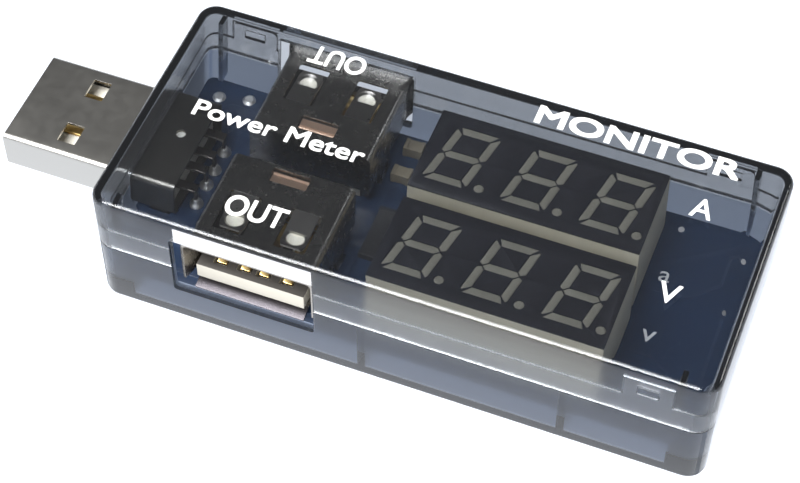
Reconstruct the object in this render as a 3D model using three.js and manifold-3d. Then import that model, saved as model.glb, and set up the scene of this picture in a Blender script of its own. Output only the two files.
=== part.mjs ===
// USB power meter: a smoky snap-together case around a circuit board that carries a USB-A plug,
// two USB-A sockets facing opposite ways, and two three-digit seven-segment displays.
// Millimetres. +X runs along the case away from the plug, +Y to the back, +Z up.
// The origin is the middle of the case's underside.

import * as THREE from "three";
import { mergeVertices } from "three/addons/utils/BufferGeometryUtils.js";
import Module from "manifold-3d";

const wasm = await Module();
wasm.setup();

// ---------------------------------------------------------------- driving dimensions

// Case
const caseLength = 63.4;
const caseWidth = 28.4;
const caseHeight = 15.0;
const caseCornerRadius = 2.0;
const caseEdgeRadius = 0.6;
const wallThickness = 0.85;
const topPlateThickness = 1.0;
const floorThickness = 1.0;
const cavityCornerRadius = 1.2;
const partingHeight = 8.0;
const partingGap = 0.1;
const lipHeight = 2.5;
const lipThickness = 0.35;
const lapGap = 0.1;

// Circuit board
const boardTop = 4.75;
const boardThickness = 1.6;
const boardEndClearance = 0.45;
const boardSideClearance = 1.05;
const boardCornerRadius = 0.8;
const tailLengthBelowBoard = 1.0;

// USB-A plug
const plugWidth = 12.0;
const plugHeight = 4.5;
const plugSheet = 0.3;
const plugTipX = -45.8;
const plugRearX = -26.2;
const plugCornerRadius = 0.6;

// USB-A sockets
const socketCentreX = -15.2;
const socketWidth = 13.1;
const socketHeight = 5.75;
const socketSheet = 0.3;
const socketRaise = 0.8;
const socketCornerRadius = 0.7;
const socketFlare = 0.45;
const tongueHalfWidth = 5.7;
const tongueThickness = 1.84;
const tongueGap = 0.72;
const tongueRecess = 0.45;
const portSideClearance = 0.95;

// Displays
const displayLength = 23.75;
const displayWidth = 10.2;
const displayFaceHeight = 12.4;
const displayFilm = 0.2;
const digitPitch = 8.05;
const digitWidth = 4.6;
const digitHeight = 7.2;
const segmentWidth = 0.8;
const segmentGap = 0.1;
const digitSlant = 0.19;
const pointRadius = 0.5;

// ---------------------------------------------------------------- derived dimensions

const halfLength = caseLength / 2;
const halfWidth = caseWidth / 2;
const cavityHalfLength = halfLength - wallThickness;
const cavityHalfWidth = halfWidth - wallThickness;
const boardBottom = boardTop - boardThickness;
const boardHalfLength = cavityHalfLength - boardEndClearance;
const boardHalfWidth = cavityHalfWidth - boardSideClearance;
const tailBottom = boardBottom - tailLengthBelowBoard;
const contactOffsets = [-3.5, -1.0, 1.0, 3.5];

// ---------------------------------------------------------------- solids

// A closed geometry as a solid that can be joined and cut.
function solid(geometry) {
  const bare = geometry.index ? geometry.toNonIndexed() : geometry;
  bare.deleteAttribute("normal");
  bare.deleteAttribute("uv");
  const merged = mergeVertices(bare, 1e-4);
  return new wasm.Manifold(
    new wasm.Mesh({
      numProp: 3,
      vertProperties: merged.attributes.position.array,
      triVerts: new Uint32Array(merged.index.array),
    }),
  );
}

function geometryOf(body) {
  const mesh = body.getMesh();
  const geometry = new THREE.BufferGeometry();
  geometry.setAttribute("position", new THREE.BufferAttribute(mesh.vertProperties, 3));
  geometry.setIndex(new THREE.BufferAttribute(mesh.triVerts, 1));
  const faceted = geometry.toNonIndexed();
  faceted.computeVertexNormals();
  return faceted;
}

function join(...bodies) {
  return bodies.reduce((whole, body) => whole.add(body));
}

function cut(body, ...tools) {
  return tools.reduce((rest, tool) => rest.subtract(tool), body);
}

function block(x0, x1, y0, y1, z0, z1) {
  const geometry = new THREE.BoxGeometry(x1 - x0, y1 - y0, z1 - z0);
  geometry.translate((x0 + x1) / 2, (y0 + y1) / 2, (z0 + z1) / 2);
  return solid(geometry);
}

function outline(points) {
  return new THREE.Shape(points.map(([a, b]) => new THREE.Vector2(a, b)));
}

function roundedOutline(a0, a1, b0, b1, radius) {
  const shape = new THREE.Shape();
  const quarter = Math.PI / 2;
  shape.absarc(a1 - radius, b1 - radius, radius, 0, quarter);
  shape.absarc(a0 + radius, b1 - radius, radius, quarter, 2 * quarter);
  shape.absarc(a0 + radius, b0 + radius, radius, 2 * quarter, 3 * quarter);
  shape.absarc(a1 - radius, b0 + radius, radius, 3 * quarter, 4 * quarter);
  shape.closePath();
  return shape;
}

// A straight prism on a flat outline. The outline's own axes are the two that "along" leaves out,
// in X, Y, Z order for "z" and "x", and (x, z) for "y".
function prism(shape, along, from, to, curveSegments = 4) {
  const options = { depth: to - from, bevelEnabled: false, curveSegments };
  const geometry = new THREE.ExtrudeGeometry(shape, options);
  if (along === "z") {
    geometry.translate(0, 0, from);
  } else if (along === "y") {
    geometry.rotateX(Math.PI / 2);
    geometry.translate(0, to, 0);
  } else {
    const turn = new THREE.Matrix4().makeBasis(
      new THREE.Vector3(0, 1, 0),
      new THREE.Vector3(0, 0, 1),
      new THREE.Vector3(1, 0, 0),
    );
    geometry.applyMatrix4(turn);
    geometry.translate(from, 0, 0);
  }
  return solid(geometry);
}

// An upright prism with rounded corners and rounded top and bottom edges.
function softBlock(halfX, halfY, z0, z1, radius, edge) {
  const shape = roundedOutline(-halfX + edge, halfX - edge, -halfY + edge, halfY - edge, radius - edge);
  const geometry = new THREE.ExtrudeGeometry(shape, {
    depth: z1 - z0 - 2 * edge,
    bevelEnabled: true,
    bevelThickness: edge,
    bevelSize: edge,
    bevelSegments: 2,
    curveSegments: 5,
  });
  geometry.translate(0, 0, z0 + edge);
  return solid(geometry);
}

function upright(x, y, radius, z0, z1, sides = 8) {
  const geometry = new THREE.CylinderGeometry(radius, radius, z1 - z0, sides);
  geometry.rotateX(Math.PI / 2);
  geometry.translate(x, y, (z0 + z1) / 2);
  return solid(geometry);
}

// ---------------------------------------------------------------- finishes and assembly

function finish(color, roughness, metalness) {
  return new THREE.MeshStandardMaterial({ color, roughness, metalness });
}

const smokyPlastic = finish(0x5a5d66, 0.15, 0);
const boardMask = finish(0x1f2d45, 0.35, 0);
const plugSteel = finish(0xbdb8a8, 0.25, 1);
const tinnedSteel = finish(0x8f8a80, 0.3, 1);
const creamPlastic = finish(0xd8d2b8, 0.5, 0);
const whitePlastic = finish(0xe8e4d8, 0.45, 0);
const goldPlate = finish(0xc8a25a, 0.3, 1);
const inkedFace = finish(0x23232b, 0.4, 0);
const clearEpoxy = finish(0x8a8a80, 0.35, 0);
const chipBlack = finish(0x1c1c1e, 0.6, 0);
const ceramicBeige = finish(0xb7a27c, 0.5, 0);

const meter = new THREE.Group();

function addPart(name, body, material, group = meter) {
  const mesh = new THREE.Mesh(geometryOf(body), material);
  mesh.name = name;
  group.add(mesh);
  return mesh;
}

// ---------------------------------------------------------------- case

// The two shells are one rounded block split at the parting height. The lower shell's inner lip
// stands up inside a matching step in the cover. Three sprung tabs on the lip each have a window
// that a rib on the cover clicks into.

const outerBlock = () =>
  softBlock(halfLength, halfWidth, 0, caseHeight, caseCornerRadius, caseEdgeRadius);

function innerPrism(growth, z0, z1) {
  const halfX = cavityHalfLength + growth;
  const halfY = cavityHalfWidth + growth;
  return prism(
    roundedOutline(-halfX, halfX, -halfY, halfY, cavityCornerRadius + growth),
    "z",
    z0,
    z1,
  );
}

const portHalfWidth = socketWidth / 2 + portSideClearance;
const portCentreX = socketCentreX - 0.4;
const portBottom = 4.6;
const portTop = 12.4;
const portX0 = portCentreX - portHalfWidth;
const portX1 = portCentreX + portHalfWidth;
const socketPorts = block(portX0, portX1, -halfWidth - 1, halfWidth + 1, portBottom, portTop);

const plugClearance = 0.2;
const plugBottom = boardTop;
const plugTop = plugBottom + plugHeight;
const plugPort = block(
  -halfLength - 1,
  -cavityHalfLength + 1,
  -plugWidth / 2 - plugClearance,
  plugWidth / 2 + plugClearance,
  plugBottom - 0.15,
  plugTop + plugClearance,
);

const clipTabs = [
  { x0: -28.1, x1: -23.3, side: 1 },
  { x0: 22.9, x1: 27.6, side: 1 },
  { x0: 22.9, x1: 27.6, side: -1 },
];
const tabTop = 13.2;
const windowWidth = 2.3;
const windowBottom = 11.1;
const windowTop = 12.4;
const hookGap = 0.15;

// A block against one long wall, given by its distances from the middle plane.
function wallBlock(side, x0, x1, near, far, z0, z1) {
  return side > 0 ? block(x0, x1, near, far, z0, z1) : block(x0, x1, -far, -near, z0, z1);
}

function clipTab({ x0, x1, side }) {
  const middle = (x0 + x1) / 2;
  const tab = wallBlock(
    side, x0, x1, cavityHalfWidth, cavityHalfWidth + lipThickness, partingHeight, tabTop);
  const opening = wallBlock(
    side, middle - windowWidth / 2, middle + windowWidth / 2,
    cavityHalfWidth - 1, cavityHalfWidth + lipThickness + 1, windowBottom, windowTop);
  return cut(tab, opening);
}

function clipPocket({ x0, x1, side }) {
  return wallBlock(
    side, x0 - hookGap, x1 + hookGap,
    cavityHalfWidth - 0.1, cavityHalfWidth + lipThickness + lapGap, partingHeight, tabTop + 0.2);
}

function clipHook({ x0, x1, side }) {
  const middle = (x0 + x1) / 2;
  return wallBlock(
    side, middle - windowWidth / 2 + hookGap, middle + windowWidth / 2 - hookGap,
    cavityHalfWidth + hookGap, cavityHalfWidth + lipThickness + lapGap + 0.1,
    windowBottom + hookGap, windowTop - hookGap);
}

// Board supports: four corner ledges, and two low ribs on each long wall that carry on up the wall.
const ledgeSize = 3.0;
const ribThickness = 0.8;
const ribReach = 4.0;
const wallRibDepth = 0.35;
const wallRibTop = 7.5;
const ribPositions = [-3.3, 17.3];

function boardSupports() {
  const pieces = [];
  for (const side of [-1, 1]) {
    for (const x of ribPositions) {
      pieces.push(wallBlock(
        side, x - ribThickness / 2, x + ribThickness / 2,
        cavityHalfWidth - ribReach, cavityHalfWidth + 0.2, floorThickness - 0.2, boardBottom));
      pieces.push(wallBlock(
        side, x - ribThickness / 2, x + ribThickness / 2,
        cavityHalfWidth - wallRibDepth, cavityHalfWidth + 0.2, floorThickness - 0.2, wallRibTop));
    }
    for (const end of [-1, 1]) {
      const outerX = end * (cavityHalfLength + 0.2);
      const innerX = end * (cavityHalfLength - ledgeSize);
      pieces.push(wallBlock(
        side, Math.min(outerX, innerX), Math.max(outerX, innerX),
        cavityHalfWidth - ledgeSize, cavityHalfWidth + 0.2, floorThickness - 0.2, boardBottom));
    }
  }
  return join(...pieces);
}

// The cover's corner ribs reach down to hold the board on its ledges.
const holdDownThickness = 0.5;
const holdDownDepth = 1.4;
const holdDownX = 28.1;
const holdDownGap = 0.1;

function holdDownRibs() {
  const pieces = [];
  for (const side of [-1, 1]) {
    for (const x of [-holdDownX - 0.9, holdDownX]) {
      pieces.push(wallBlock(
        side, x - holdDownThickness / 2, x + holdDownThickness / 2,
        cavityHalfWidth - holdDownDepth, cavityHalfWidth - 0.08,
        boardTop + holdDownGap, caseHeight - topPlateThickness + 0.2));
    }
  }
  return join(...pieces);
}

function bottomShell() {
  const upperHalf = block(-50, 50, -50, 50, partingHeight, 50);
  const lip = innerPrism(lipThickness, partingHeight - 0.5, partingHeight + lipHeight);
  const cavity = innerPrism(0, floorThickness, 50);
  const tray = cut(join(cut(outerBlock(), upperHalf), lip), cavity);
  const fitted = join(tray, ...clipTabs.map(clipTab), boardSupports());
  return cut(fitted, socketPorts, plugPort);
}

function topCover() {
  const lowerHalf = block(-50, 50, -50, 50, -50, partingHeight + partingGap);
  const cavity = innerPrism(0, 0, caseHeight - topPlateThickness);
  const step = innerPrism(lipThickness + lapGap, 0, partingHeight + lipHeight + lapGap);
  const hollow = cut(outerBlock(), lowerHalf, cavity, step, ...clipTabs.map(clipPocket));
  return cut(join(hollow, ...clipTabs.map(clipHook), holdDownRibs()), socketPorts, plugPort);
}

addPart("bottom_shell", bottomShell(), smokyPlastic);
addPart("top_cover", topCover(), smokyPlastic);

// ---------------------------------------------------------------- USB-A plug

const plugTabX0 = -28.8;
const plugTabX1 = -27.0;
const latchWindowX = -39.4;
const latchWindowY = 3.15;
const latchWindowLength = 2.0;
const latchWindowWidth = 2.5;

function plugShell() {
  const halfPlug = plugWidth / 2;
  const outer = prism(
    roundedOutline(-halfPlug, halfPlug, plugBottom, plugTop, plugCornerRadius),
    "x", plugTipX, plugRearX, 3);
  const inner = prism(
    roundedOutline(-halfPlug + plugSheet, halfPlug - plugSheet,
      plugBottom + plugSheet, plugTop - plugSheet, plugCornerRadius - plugSheet),
    "x", plugTipX - 1, plugRearX + 1, 3);
  const latchWindows = [-1, 1].map((side) =>
    block(
      latchWindowX - latchWindowLength / 2, latchWindowX + latchWindowLength / 2,
      side * latchWindowY - latchWindowWidth / 2, side * latchWindowY + latchWindowWidth / 2,
      plugBottom - 1, plugTop + 1));
  const dimple = upright(-28.4, 0.7, 0.65, plugTop - 1, plugTop + 1, 12);
  const tabs = [-1, 1].map((side) =>
    wallBlock(side, plugTabX0, plugTabX1, halfPlug - plugSheet, halfPlug, tailBottom, plugBottom + 1));
  return join(cut(outer, inner, ...latchWindows, dimple), ...tabs);
}

// The insulator has a tongue along the lower half and a full-height block at the rear.
const plugTongueTop = plugBottom + 2.25;
const plugBlockX = -33.8;
const plugGroove = 0.25;
const plugStrip = 0.3;
const stripTop = plugTongueTop + 0.15;

function plugInsulator() {
  const sideGap = 0.15;
  const halfInside = plugWidth / 2 - plugSheet - sideGap;
  const low = plugBottom + plugSheet + 0.05;
  const tongue = block(plugTipX + 0.5, plugBlockX + 1, -halfInside, halfInside, low, plugTongueTop);
  const rear = block(plugBlockX, -27.0, -halfInside, halfInside, low, plugTop - plugSheet - 0.1);
  const grooves = contactOffsets.map((y, i) => {
    const tipX = plugTipX + (i === 0 || i === 3 ? 0.9 : 1.9);
    return block(tipX, -26, y - 0.65, y + 0.65, plugTongueTop - plugGroove, stripTop + 0.15);
  });
  return cut(join(tongue, rear), ...grooves);
}

// A contact is a flat strip in its groove, then a narrower leg down through the board.
const plugLegX = -25.0;

function plugContact(y, i) {
  const tipX = plugTipX + (i === 0 || i === 3 ? 1.2 : 2.2);
  const strip = block(tipX, plugLegX + 0.3, y - 0.5, y + 0.5, stripTop - plugStrip, stripTop);
  const leg = block(plugLegX, plugLegX + 0.3, y - 0.3, y + 0.3, tailBottom, stripTop);
  return join(strip, leg);
}

addPart("plug_shell", plugShell(), plugSteel);
addPart("plug_insulator", plugInsulator(), whitePlastic);
contactOffsets.forEach((y, i) => addPart("plug_contact_" + (i + 1), plugContact(y, i), goldPlate));

// ---------------------------------------------------------------- USB-A sockets

// Each socket is modelled in its own frame: its rear edge at y = 0, its mouth towards -Y,
// z = 0 on the board. "depth" is the distance from the rear edge towards the mouth.

const sockets = [
  { label: "front", rearY: -1.1, turn: 0, bodyDepth: 10.0, depth: 12.5, windowDepth: 0.35 },
  { label: "back", rearY: 2.8, turn: Math.PI, bodyDepth: 9.8, depth: 11.3, windowDepth: 1.3 },
];

const shellTop = socketRaise + socketHeight;
const shellFloor = socketRaise + socketSheet;
const tongueBottom = shellFloor + tongueGap;
const tongueTop = tongueBottom + tongueThickness;
const insulatorBlockDepth = 3.4;
const insulatorRear = 0.45;
const rearWindowHalfWidth = 2.0;
const rearWindowLength = 1.7;
const lugDepth = 3.0;
const lugLength = 2.2;
const localTailBottom = tailBottom - boardTop;

const fingerCentre = 3.2;
const fingerHalfWidth = 1.3;
const fingerGap = 0.35;
const fingerRoot = 4.4;
const fingerDimpleDepth = 7.4;
const fingerTip = 8.7;
const fingerDip = 0.6;

const grooveHalfWidth = 0.75;
const grooveFloor = 2.45;
const armRoot = 3.7;
const armThickness = 0.25;
const armHalfWidth = 0.5;
const tailBackDepth = 1.45;

function depthBlock(x0, x1, d0, d1, z0, z1) {
  return block(x0, x1, -d1, -d0, z0, z1);
}

// A bent sheet seen from the side: a list of (depth, z) points along its upper face.
function bentStrip(path, thickness, x0, x1) {
  const top = path.map(([d, z]) => [-d, z]);
  const under = path.map(([d, z]) => [-d, z - thickness]).reverse();
  return prism(outline([...top, ...under]), "x", x0, x1);
}

function mouthFlaps({ bodyDepth, depth }) {
  const start = bodyDepth - 0.4;
  const half = socketWidth / 2;
  const flapInset = 0.75;
  const top = bentStrip(
    [[start, shellTop], [bodyDepth, shellTop], [depth, shellTop + socketFlare]],
    socketSheet, -half + flapInset, half - flapInset);
  const bottom = bentStrip(
    [[start, shellFloor], [bodyDepth, shellFloor], [depth, shellFloor - socketFlare]],
    socketSheet, -half + flapInset, half - flapInset);
  const sides = [-1, 1].map((side) => {
    const points = [
      [side * half, -start],
      [side * half, -bodyDepth],
      [side * (half + socketFlare), -depth],
      [side * (half + socketFlare - socketSheet), -depth],
      [side * (half - socketSheet), -bodyDepth],
      [side * (half - socketSheet), -start],
    ];
    return prism(outline(points), "z", socketRaise + flapInset, shellTop - flapInset);
  });
  return join(top, bottom, ...sides);
}

function socketShell(socket) {
  const half = socketWidth / 2;
  const tube = cut(
    prism(
      roundedOutline(-half, half, socketRaise, shellTop, socketCornerRadius),
      "y", -socket.bodyDepth, 0, 3),
    prism(
      roundedOutline(-half + socketSheet, half - socketSheet, shellFloor, shellTop - socketSheet,
        socketCornerRadius - socketSheet),
      "y", -socket.bodyDepth - 1, -socketSheet, 3),
    depthBlock(-half + 1, half - 1, -1, insulatorBlockDepth + 0.2, -1, shellFloor + 0.5),
  );
  const lugs = [-1, 1].map((side) => {
    const x0 = side > 0 ? half - socketSheet : -half;
    return depthBlock(x0, x0 + socketSheet, lugDepth, lugDepth + lugLength, localTailBottom, shellFloor + 1);
  });
  const rearWindow = depthBlock(
    -rearWindowHalfWidth, rearWindowHalfWidth,
    socket.windowDepth, socket.windowDepth + rearWindowLength, shellTop - 0.5, shellTop + 1);
  const fingerWindows = [-1, 1].map((side) =>
    depthBlock(
      side * fingerCentre - fingerHalfWidth - fingerGap, side * fingerCentre + fingerHalfWidth + fingerGap,
      fingerRoot - fingerGap, fingerTip + fingerGap, shellTop - 0.5, shellTop + 1));
  return cut(join(tube, mouthFlaps(socket), ...lugs), rearWindow, ...fingerWindows);
}

function socketInsulator(socket) {
  const tongueFront = socket.depth - tongueRecess;
  const rear = depthBlock(
    -5.4, 5.4, insulatorRear, insulatorBlockDepth, 0.1, shellTop - socketSheet - 0.15);
  const tongue = depthBlock(
    -tongueHalfWidth, tongueHalfWidth, insulatorBlockDepth - 0.5, tongueFront, tongueBottom, tongueTop);
  const channels = contactOffsets.map((x) =>
    join(
      depthBlock(x - grooveHalfWidth, x + grooveHalfWidth,
        tailBackDepth - 0.2, tongueFront - 0.8, grooveFloor, tongueTop + 0.1),
      depthBlock(x - 0.5, x + 0.5, tailBackDepth - 0.2, tailBackDepth + 0.5, -1, grooveFloor + 0.1),
    ));
  return cut(join(rear, tongue), ...channels);
}

// The contact's sprung arm bows up out of its groove, so a plug presses it down.
function contactArm(x, socket) {
  const low = grooveFloor + 0.75;
  const apex = tongueTop + 0.4;
  const tip = socket.depth - tongueRecess - 1.15;
  return bentStrip(
    [[armRoot, low], [armRoot + 1.6, low + 0.1], [tip - 2.4, apex], [tip - 1.6, apex], [tip, low + 0.25]],
    armThickness, x - armHalfWidth, x + armHalfWidth);
}

function contactTail(x) {
  const top = grooveFloor + 0.75;
  const strip = depthBlock(
    x - armHalfWidth, x + armHalfWidth, tailBackDepth, armRoot - 0.3, top - armThickness, top);
  const leg = depthBlock(
    x - 0.3, x + 0.3, tailBackDepth, tailBackDepth + 0.3, localTailBottom, top);
  return join(strip, leg);
}

// A retention finger dips into the socket, so a plug pushes its dimple up.
function retentionFinger(centre) {
  const path = [
    [fingerRoot, shellTop],
    [fingerDimpleDepth, shellTop - fingerDip],
    [fingerDimpleDepth + 0.5, shellTop - fingerDip],
    [fingerTip, shellTop - 0.25],
  ];
  return bentStrip(path, socketSheet, centre - fingerHalfWidth, centre + fingerHalfWidth);
}

for (const socket of sockets) {
  const group = new THREE.Group();
  group.position.set(socketCentreX, socket.rearY, boardTop);
  group.rotation.z = socket.turn;
  meter.add(group);
  const name = socket.label + "_socket_";
  addPart(name + "shell", socketShell(socket), tinnedSteel, group);
  addPart(name + "insulator", socketInsulator(socket), whitePlastic, group);
  addPart(name + "finger_1", retentionFinger(-fingerCentre), tinnedSteel, group);
  addPart(name + "finger_2", retentionFinger(fingerCentre), tinnedSteel, group);
  contactOffsets.forEach((x, i) => {
    addPart(name + "spring_" + (i + 1), contactArm(x, socket), goldPlate, group);
    addPart(name + "tail_" + (i + 1), contactTail(x), goldPlate, group);
  });
}

// ---------------------------------------------------------------- displays

// Each display is a moulded housing open below. Its own small circuit board with the pins sits in
// the opening. A block of epoxy under each digit reaches up through an inked face film as seven
// segments and a point.

const displays = [
  { label: "current", x: 7.98, y: 5.55 },
  { label: "voltage", x: 8.18, y: -6.15 },
];
const housingTop = displayFaceHeight - displayFilm;
const housingCeiling = 11.0;
const housingWallX = 0.9;
const housingWallY = 0.8;
const pinSpacing = 2.54;
const pinRowOffset = 3.81;
const pinColumns = [-2.5, -1.5, -0.5, 0.5, 1.5, 2.5];
const displayBoardBottom = boardTop + 0.2;
const displayBoardThickness = 1.0;

// The seven segments and the point of one digit, about the digit's middle. "grow" widens each.
function digitOutlines(grow) {
  const w = digitWidth / 2;
  const h = digitHeight / 2;
  const t = segmentWidth;
  const g = segmentGap - grow;
  const top = [
    [-w + g + 0.25, h + grow], [w - g - 0.25, h + grow], [w - g - t, h - t - grow], [-w + g + t, h - t - grow],
  ];
  const upperLeft = [
    [-w - grow, h - g - 0.35], [-w + 0.12, h - g - 0.2], [-w + t + grow, h - t - g],
    [-w + t + grow, t / 2 + g], [-w + t / 2, g], [-w - grow, g + 0.25],
  ];
  const middle = [
    [-w + t / 2 + g, 0], [-w + t + g, t / 2 + grow], [w - t - g, t / 2 + grow],
    [w - t / 2 - g, 0], [w - t - g, -t / 2 - grow], [-w + t + g, -t / 2 - grow],
  ];
  const mirrored = (points, sx, sy) => points.map(([x, y]) => [sx * x, sy * y]);
  const strokes = [
    top,
    mirrored(top, 1, -1),
    middle,
    upperLeft,
    mirrored(upperLeft, -1, 1),
    mirrored(upperLeft, 1, -1),
    mirrored(upperLeft, -1, -1),
  ];
  const point = [];
  for (let i = 0; i < 8; i += 1) {
    const angle = ((i + 0.5) * Math.PI) / 4;
    const radius = pointRadius + grow;
    point.push([2.9 + radius * Math.cos(angle), -3.12 + radius * Math.sin(angle)]);
  }
  const slanted = strokes.map((points) => points.map(([x, y]) => [x + digitSlant * y, y]));
  return [...slanted, point];
}

function digitPrisms(x, y, grow, z0, z1) {
  return digitOutlines(grow).map((points) =>
    prism(outline(points.map(([px, py]) => [px + x, py + y])), "z", z0, z1));
}

const digitCentres = (display) => [-1, 0, 1].map((k) => display.x + k * digitPitch);

function centredBlock(x, y, halfX, halfY, z0, z1) {
  return block(x - halfX, x + halfX, y - halfY, y + halfY, z0, z1);
}

function displayHousing(display) {
  const { x, y } = display;
  const outer = centredBlock(x, y, displayLength / 2, displayWidth / 2, boardTop, housingTop);
  const pocket = centredBlock(
    x, y, displayLength / 2 - housingWallX, displayWidth / 2 - housingWallY, boardTop - 1, housingCeiling);
  const windows = digitCentres(display).map((cx) =>
    block(cx - 2.85, cx + 3.55, y - 4.05, y + 4.05, housingCeiling - 1, housingTop + 1));
  return cut(outer, pocket, ...windows);
}

function displayFace(display) {
  const { x, y } = display;
  const sheet = centredBlock(x, y, displayLength / 2, displayWidth / 2, housingTop, displayFaceHeight);
  const openings = digitCentres(display).flatMap((cx) =>
    digitPrisms(cx, y, 0.04, housingTop - 1, displayFaceHeight + 1));
  return cut(sheet, ...openings);
}

function digitBlock(cx, y) {
  const base = centredBlock(cx, y, 2.8, 4.2, displayBoardBottom + displayBoardThickness + 0.1,
    housingCeiling - 0.1);
  const neck = block(cx - 2.75, cx + 3.45, y - 3.95, y + 3.95, housingCeiling - 0.9, housingTop - 0.05);
  const strokes = digitPrisms(cx, y, 0, housingTop - 0.5, displayFaceHeight - 0.03);
  return join(base, neck, ...strokes);
}

const pinPositions = (display) =>
  [-1, 1].flatMap((row) =>
    pinColumns.map((column) => [display.x + column * pinSpacing, display.y + row * pinRowOffset]));

function displayBoard(display) {
  const { x, y } = display;
  const sheet = centredBlock(
    x, y, displayLength / 2 - housingWallX - 0.15, displayWidth / 2 - housingWallY - 0.15,
    displayBoardBottom, displayBoardBottom + displayBoardThickness);
  const pins = pinPositions(display).map(([px, py]) =>
    centredBlock(px, py, 0.25, 0.15, tailBottom, displayBoardBottom + 0.5));
  return join(sheet, ...pins);
}

for (const display of displays) {
  const name = display.label + "_display_";
  addPart(name + "housing", displayHousing(display), creamPlastic);
  addPart(name + "face", displayFace(display), inkedFace);
  addPart(name + "board", displayBoard(display), ceramicBeige);
  digitCentres(display).forEach((cx, i) =>
    addPart(name + "digit_" + (i + 1), digitBlock(cx, display.y), clearEpoxy));
}

// ---------------------------------------------------------------- parts soldered to the board

// A two-terminal part: a body between two slightly larger end caps. "below" hangs it under the board.
function chipPart({ x, y, length, width, height, alongY = false, below = false }) {
  const cap = Math.min(0.5, length * 0.2);
  const z0 = below ? boardBottom - height : boardTop;
  const piece = (l0, l1, grow) => {
    const half = width / 2 + grow;
    const low = below ? z0 + 0.05 - grow : z0;
    const high = below ? boardBottom : z0 + height - 0.05 + grow;
    return alongY
      ? block(x - half, x + half, y + l0, y + l1, low, high)
      : block(x + l0, x + l1, y - half, y + half, low, high);
  };
  return join(
    piece(-length / 2 + cap / 2, length / 2 - cap / 2, 0),
    piece(-length / 2, -length / 2 + cap, 0.05),
    piece(length / 2 - cap, length / 2, 0.05),
  );
}

// A moulded circuit with gull-wing leads along its two long sides.
function leadedChip({ x, y, length, width, height, leads, pitch, below = true }) {
  const stand = 0.15;
  const leadReach = 0.9;
  const surface = below ? boardBottom : boardTop;
  const up = below ? -1 : 1;
  const level = (a, b) => [surface + up * a, surface + up * b].sort((p, q) => p - q);
  const body = block(x - length / 2, x + length / 2, y - width / 2, y + width / 2, ...level(stand, height));
  const pieces = [body];
  for (const side of [-1, 1]) {
    for (let i = 0; i < leads; i += 1) {
      const cx = x + (i - (leads - 1) / 2) * pitch;
      const near = width / 2 - 0.1;
      const span = (a, b) => [y + side * a, y + side * b].sort((p, q) => p - q);
      pieces.push(block(cx - 0.15, cx + 0.15, ...span(near, near + 0.45), ...level(height / 2, height / 2 + 0.18)));
      pieces.push(block(cx - 0.15, cx + 0.15, ...span(near + 0.3, near + 0.45), ...level(0, height / 2 + 0.1)));
      pieces.push(block(cx - 0.15, cx + 0.15, ...span(near + 0.3, near + leadReach), ...level(0, 0.15)));
    }
  }
  return join(...pieces);
}

const chipParts = [
  ["shunt_resistor", chipBlack,
    { x: -5.95, y: -0.6, length: 6.3, width: 2.6, height: 0.65, alongY: true }],
  ["input_capacitor", ceramicBeige, { x: -6.7, y: 10.4, length: 2.0, width: 1.25, height: 1.2 }],
  ["output_capacitor", ceramicBeige, { x: -6.7, y: 6.9, length: 2.0, width: 1.25, height: 1.2 }],
  ["filter_capacitor", ceramicBeige, { x: -1.5, y: -3.0, length: 1.6, width: 0.8, height: 0.8, below: true }],
  ["divider_resistor_1", chipBlack, { x: -7.0, y: -3.0, length: 1.6, width: 0.8, height: 0.5, below: true }],
  ["divider_resistor_2", chipBlack, { x: -7.0, y: -5.0, length: 1.6, width: 0.8, height: 0.5, below: true }],
  ["protection_diode", chipBlack, { x: -21.5, y: 1.0, length: 2.6, width: 1.5, height: 1.1, below: true }],
];
for (const [name, material, options] of chipParts) {
  addPart(name, chipPart(options), material);
}

const leadedChips = [
  ["microcontroller", { x: 25.0, y: -1.5, length: 6.5, width: 4.4, height: 1.2, leads: 8, pitch: 0.8 }],
  ["current_amplifier", { x: -2.0, y: 2.4, length: 4.9, width: 3.0, height: 1.2, leads: 4, pitch: 1.27 }],
  ["voltage_regulator", { x: 24.5, y: 7.0, length: 3.0, width: 1.6, height: 1.1, leads: 3, pitch: 0.95 }],
];
for (const [name, options] of leadedChips) {
  addPart(name, leadedChip(options), chipBlack);
}

// ---------------------------------------------------------------- circuit board

// The board is drilled for every tail, pin and lug that passes through it.
function boardHoles() {
  const holes = [];
  const low = boardBottom - 1;
  const high = boardTop + 1;
  const drill = (x, y, radius) => holes.push(upright(x, y, radius, low, high, 6));
  const slot = (x, y, halfX, halfY) => holes.push(centredBlock(x, y, halfX, halfY, low, high));
  contactOffsets.forEach((y) => drill(plugLegX + 0.15, y, 0.55));
  for (const side of [-1, 1]) {
    slot((plugTabX0 + plugTabX1) / 2, side * (plugWidth / 2 - plugSheet / 2), 1.15, 0.35);
  }
  for (const socket of sockets) {
    const away = socket.turn ? 1 : -1;
    const tailY = socket.rearY + away * (tailBackDepth + 0.15);
    const lugY = socket.rearY + away * (lugDepth + lugLength / 2);
    contactOffsets.forEach((x) => drill(socketCentreX + x, tailY, 0.55));
    for (const side of [-1, 1]) {
      slot(socketCentreX + side * (socketWidth / 2 - socketSheet / 2), lugY, 0.35, 1.35);
    }
  }
  displays.flatMap(pinPositions).forEach(([x, y]) => slot(x, y, 0.4, 0.4));
  return holes;
}

function mainBoard() {
  const sheet = prism(
    roundedOutline(-boardHalfLength, boardHalfLength, -boardHalfWidth, boardHalfWidth, boardCornerRadius),
    "z", boardBottom, boardTop);
  return cut(sheet, ...boardHoles());
}

addPart("main_board", mainBoard(), boardMask);

export default meter;
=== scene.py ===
"""A pocket USB power meter: smoky clear case, circuit board, USB-A plug, two USB-A sockets and
two three-digit displays. Metres; +X along the case away from the plug, +Y to the back, +Z up."""

import math

import bmesh
import bpy
from mathutils import Matrix, Quaternion, Vector


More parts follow.
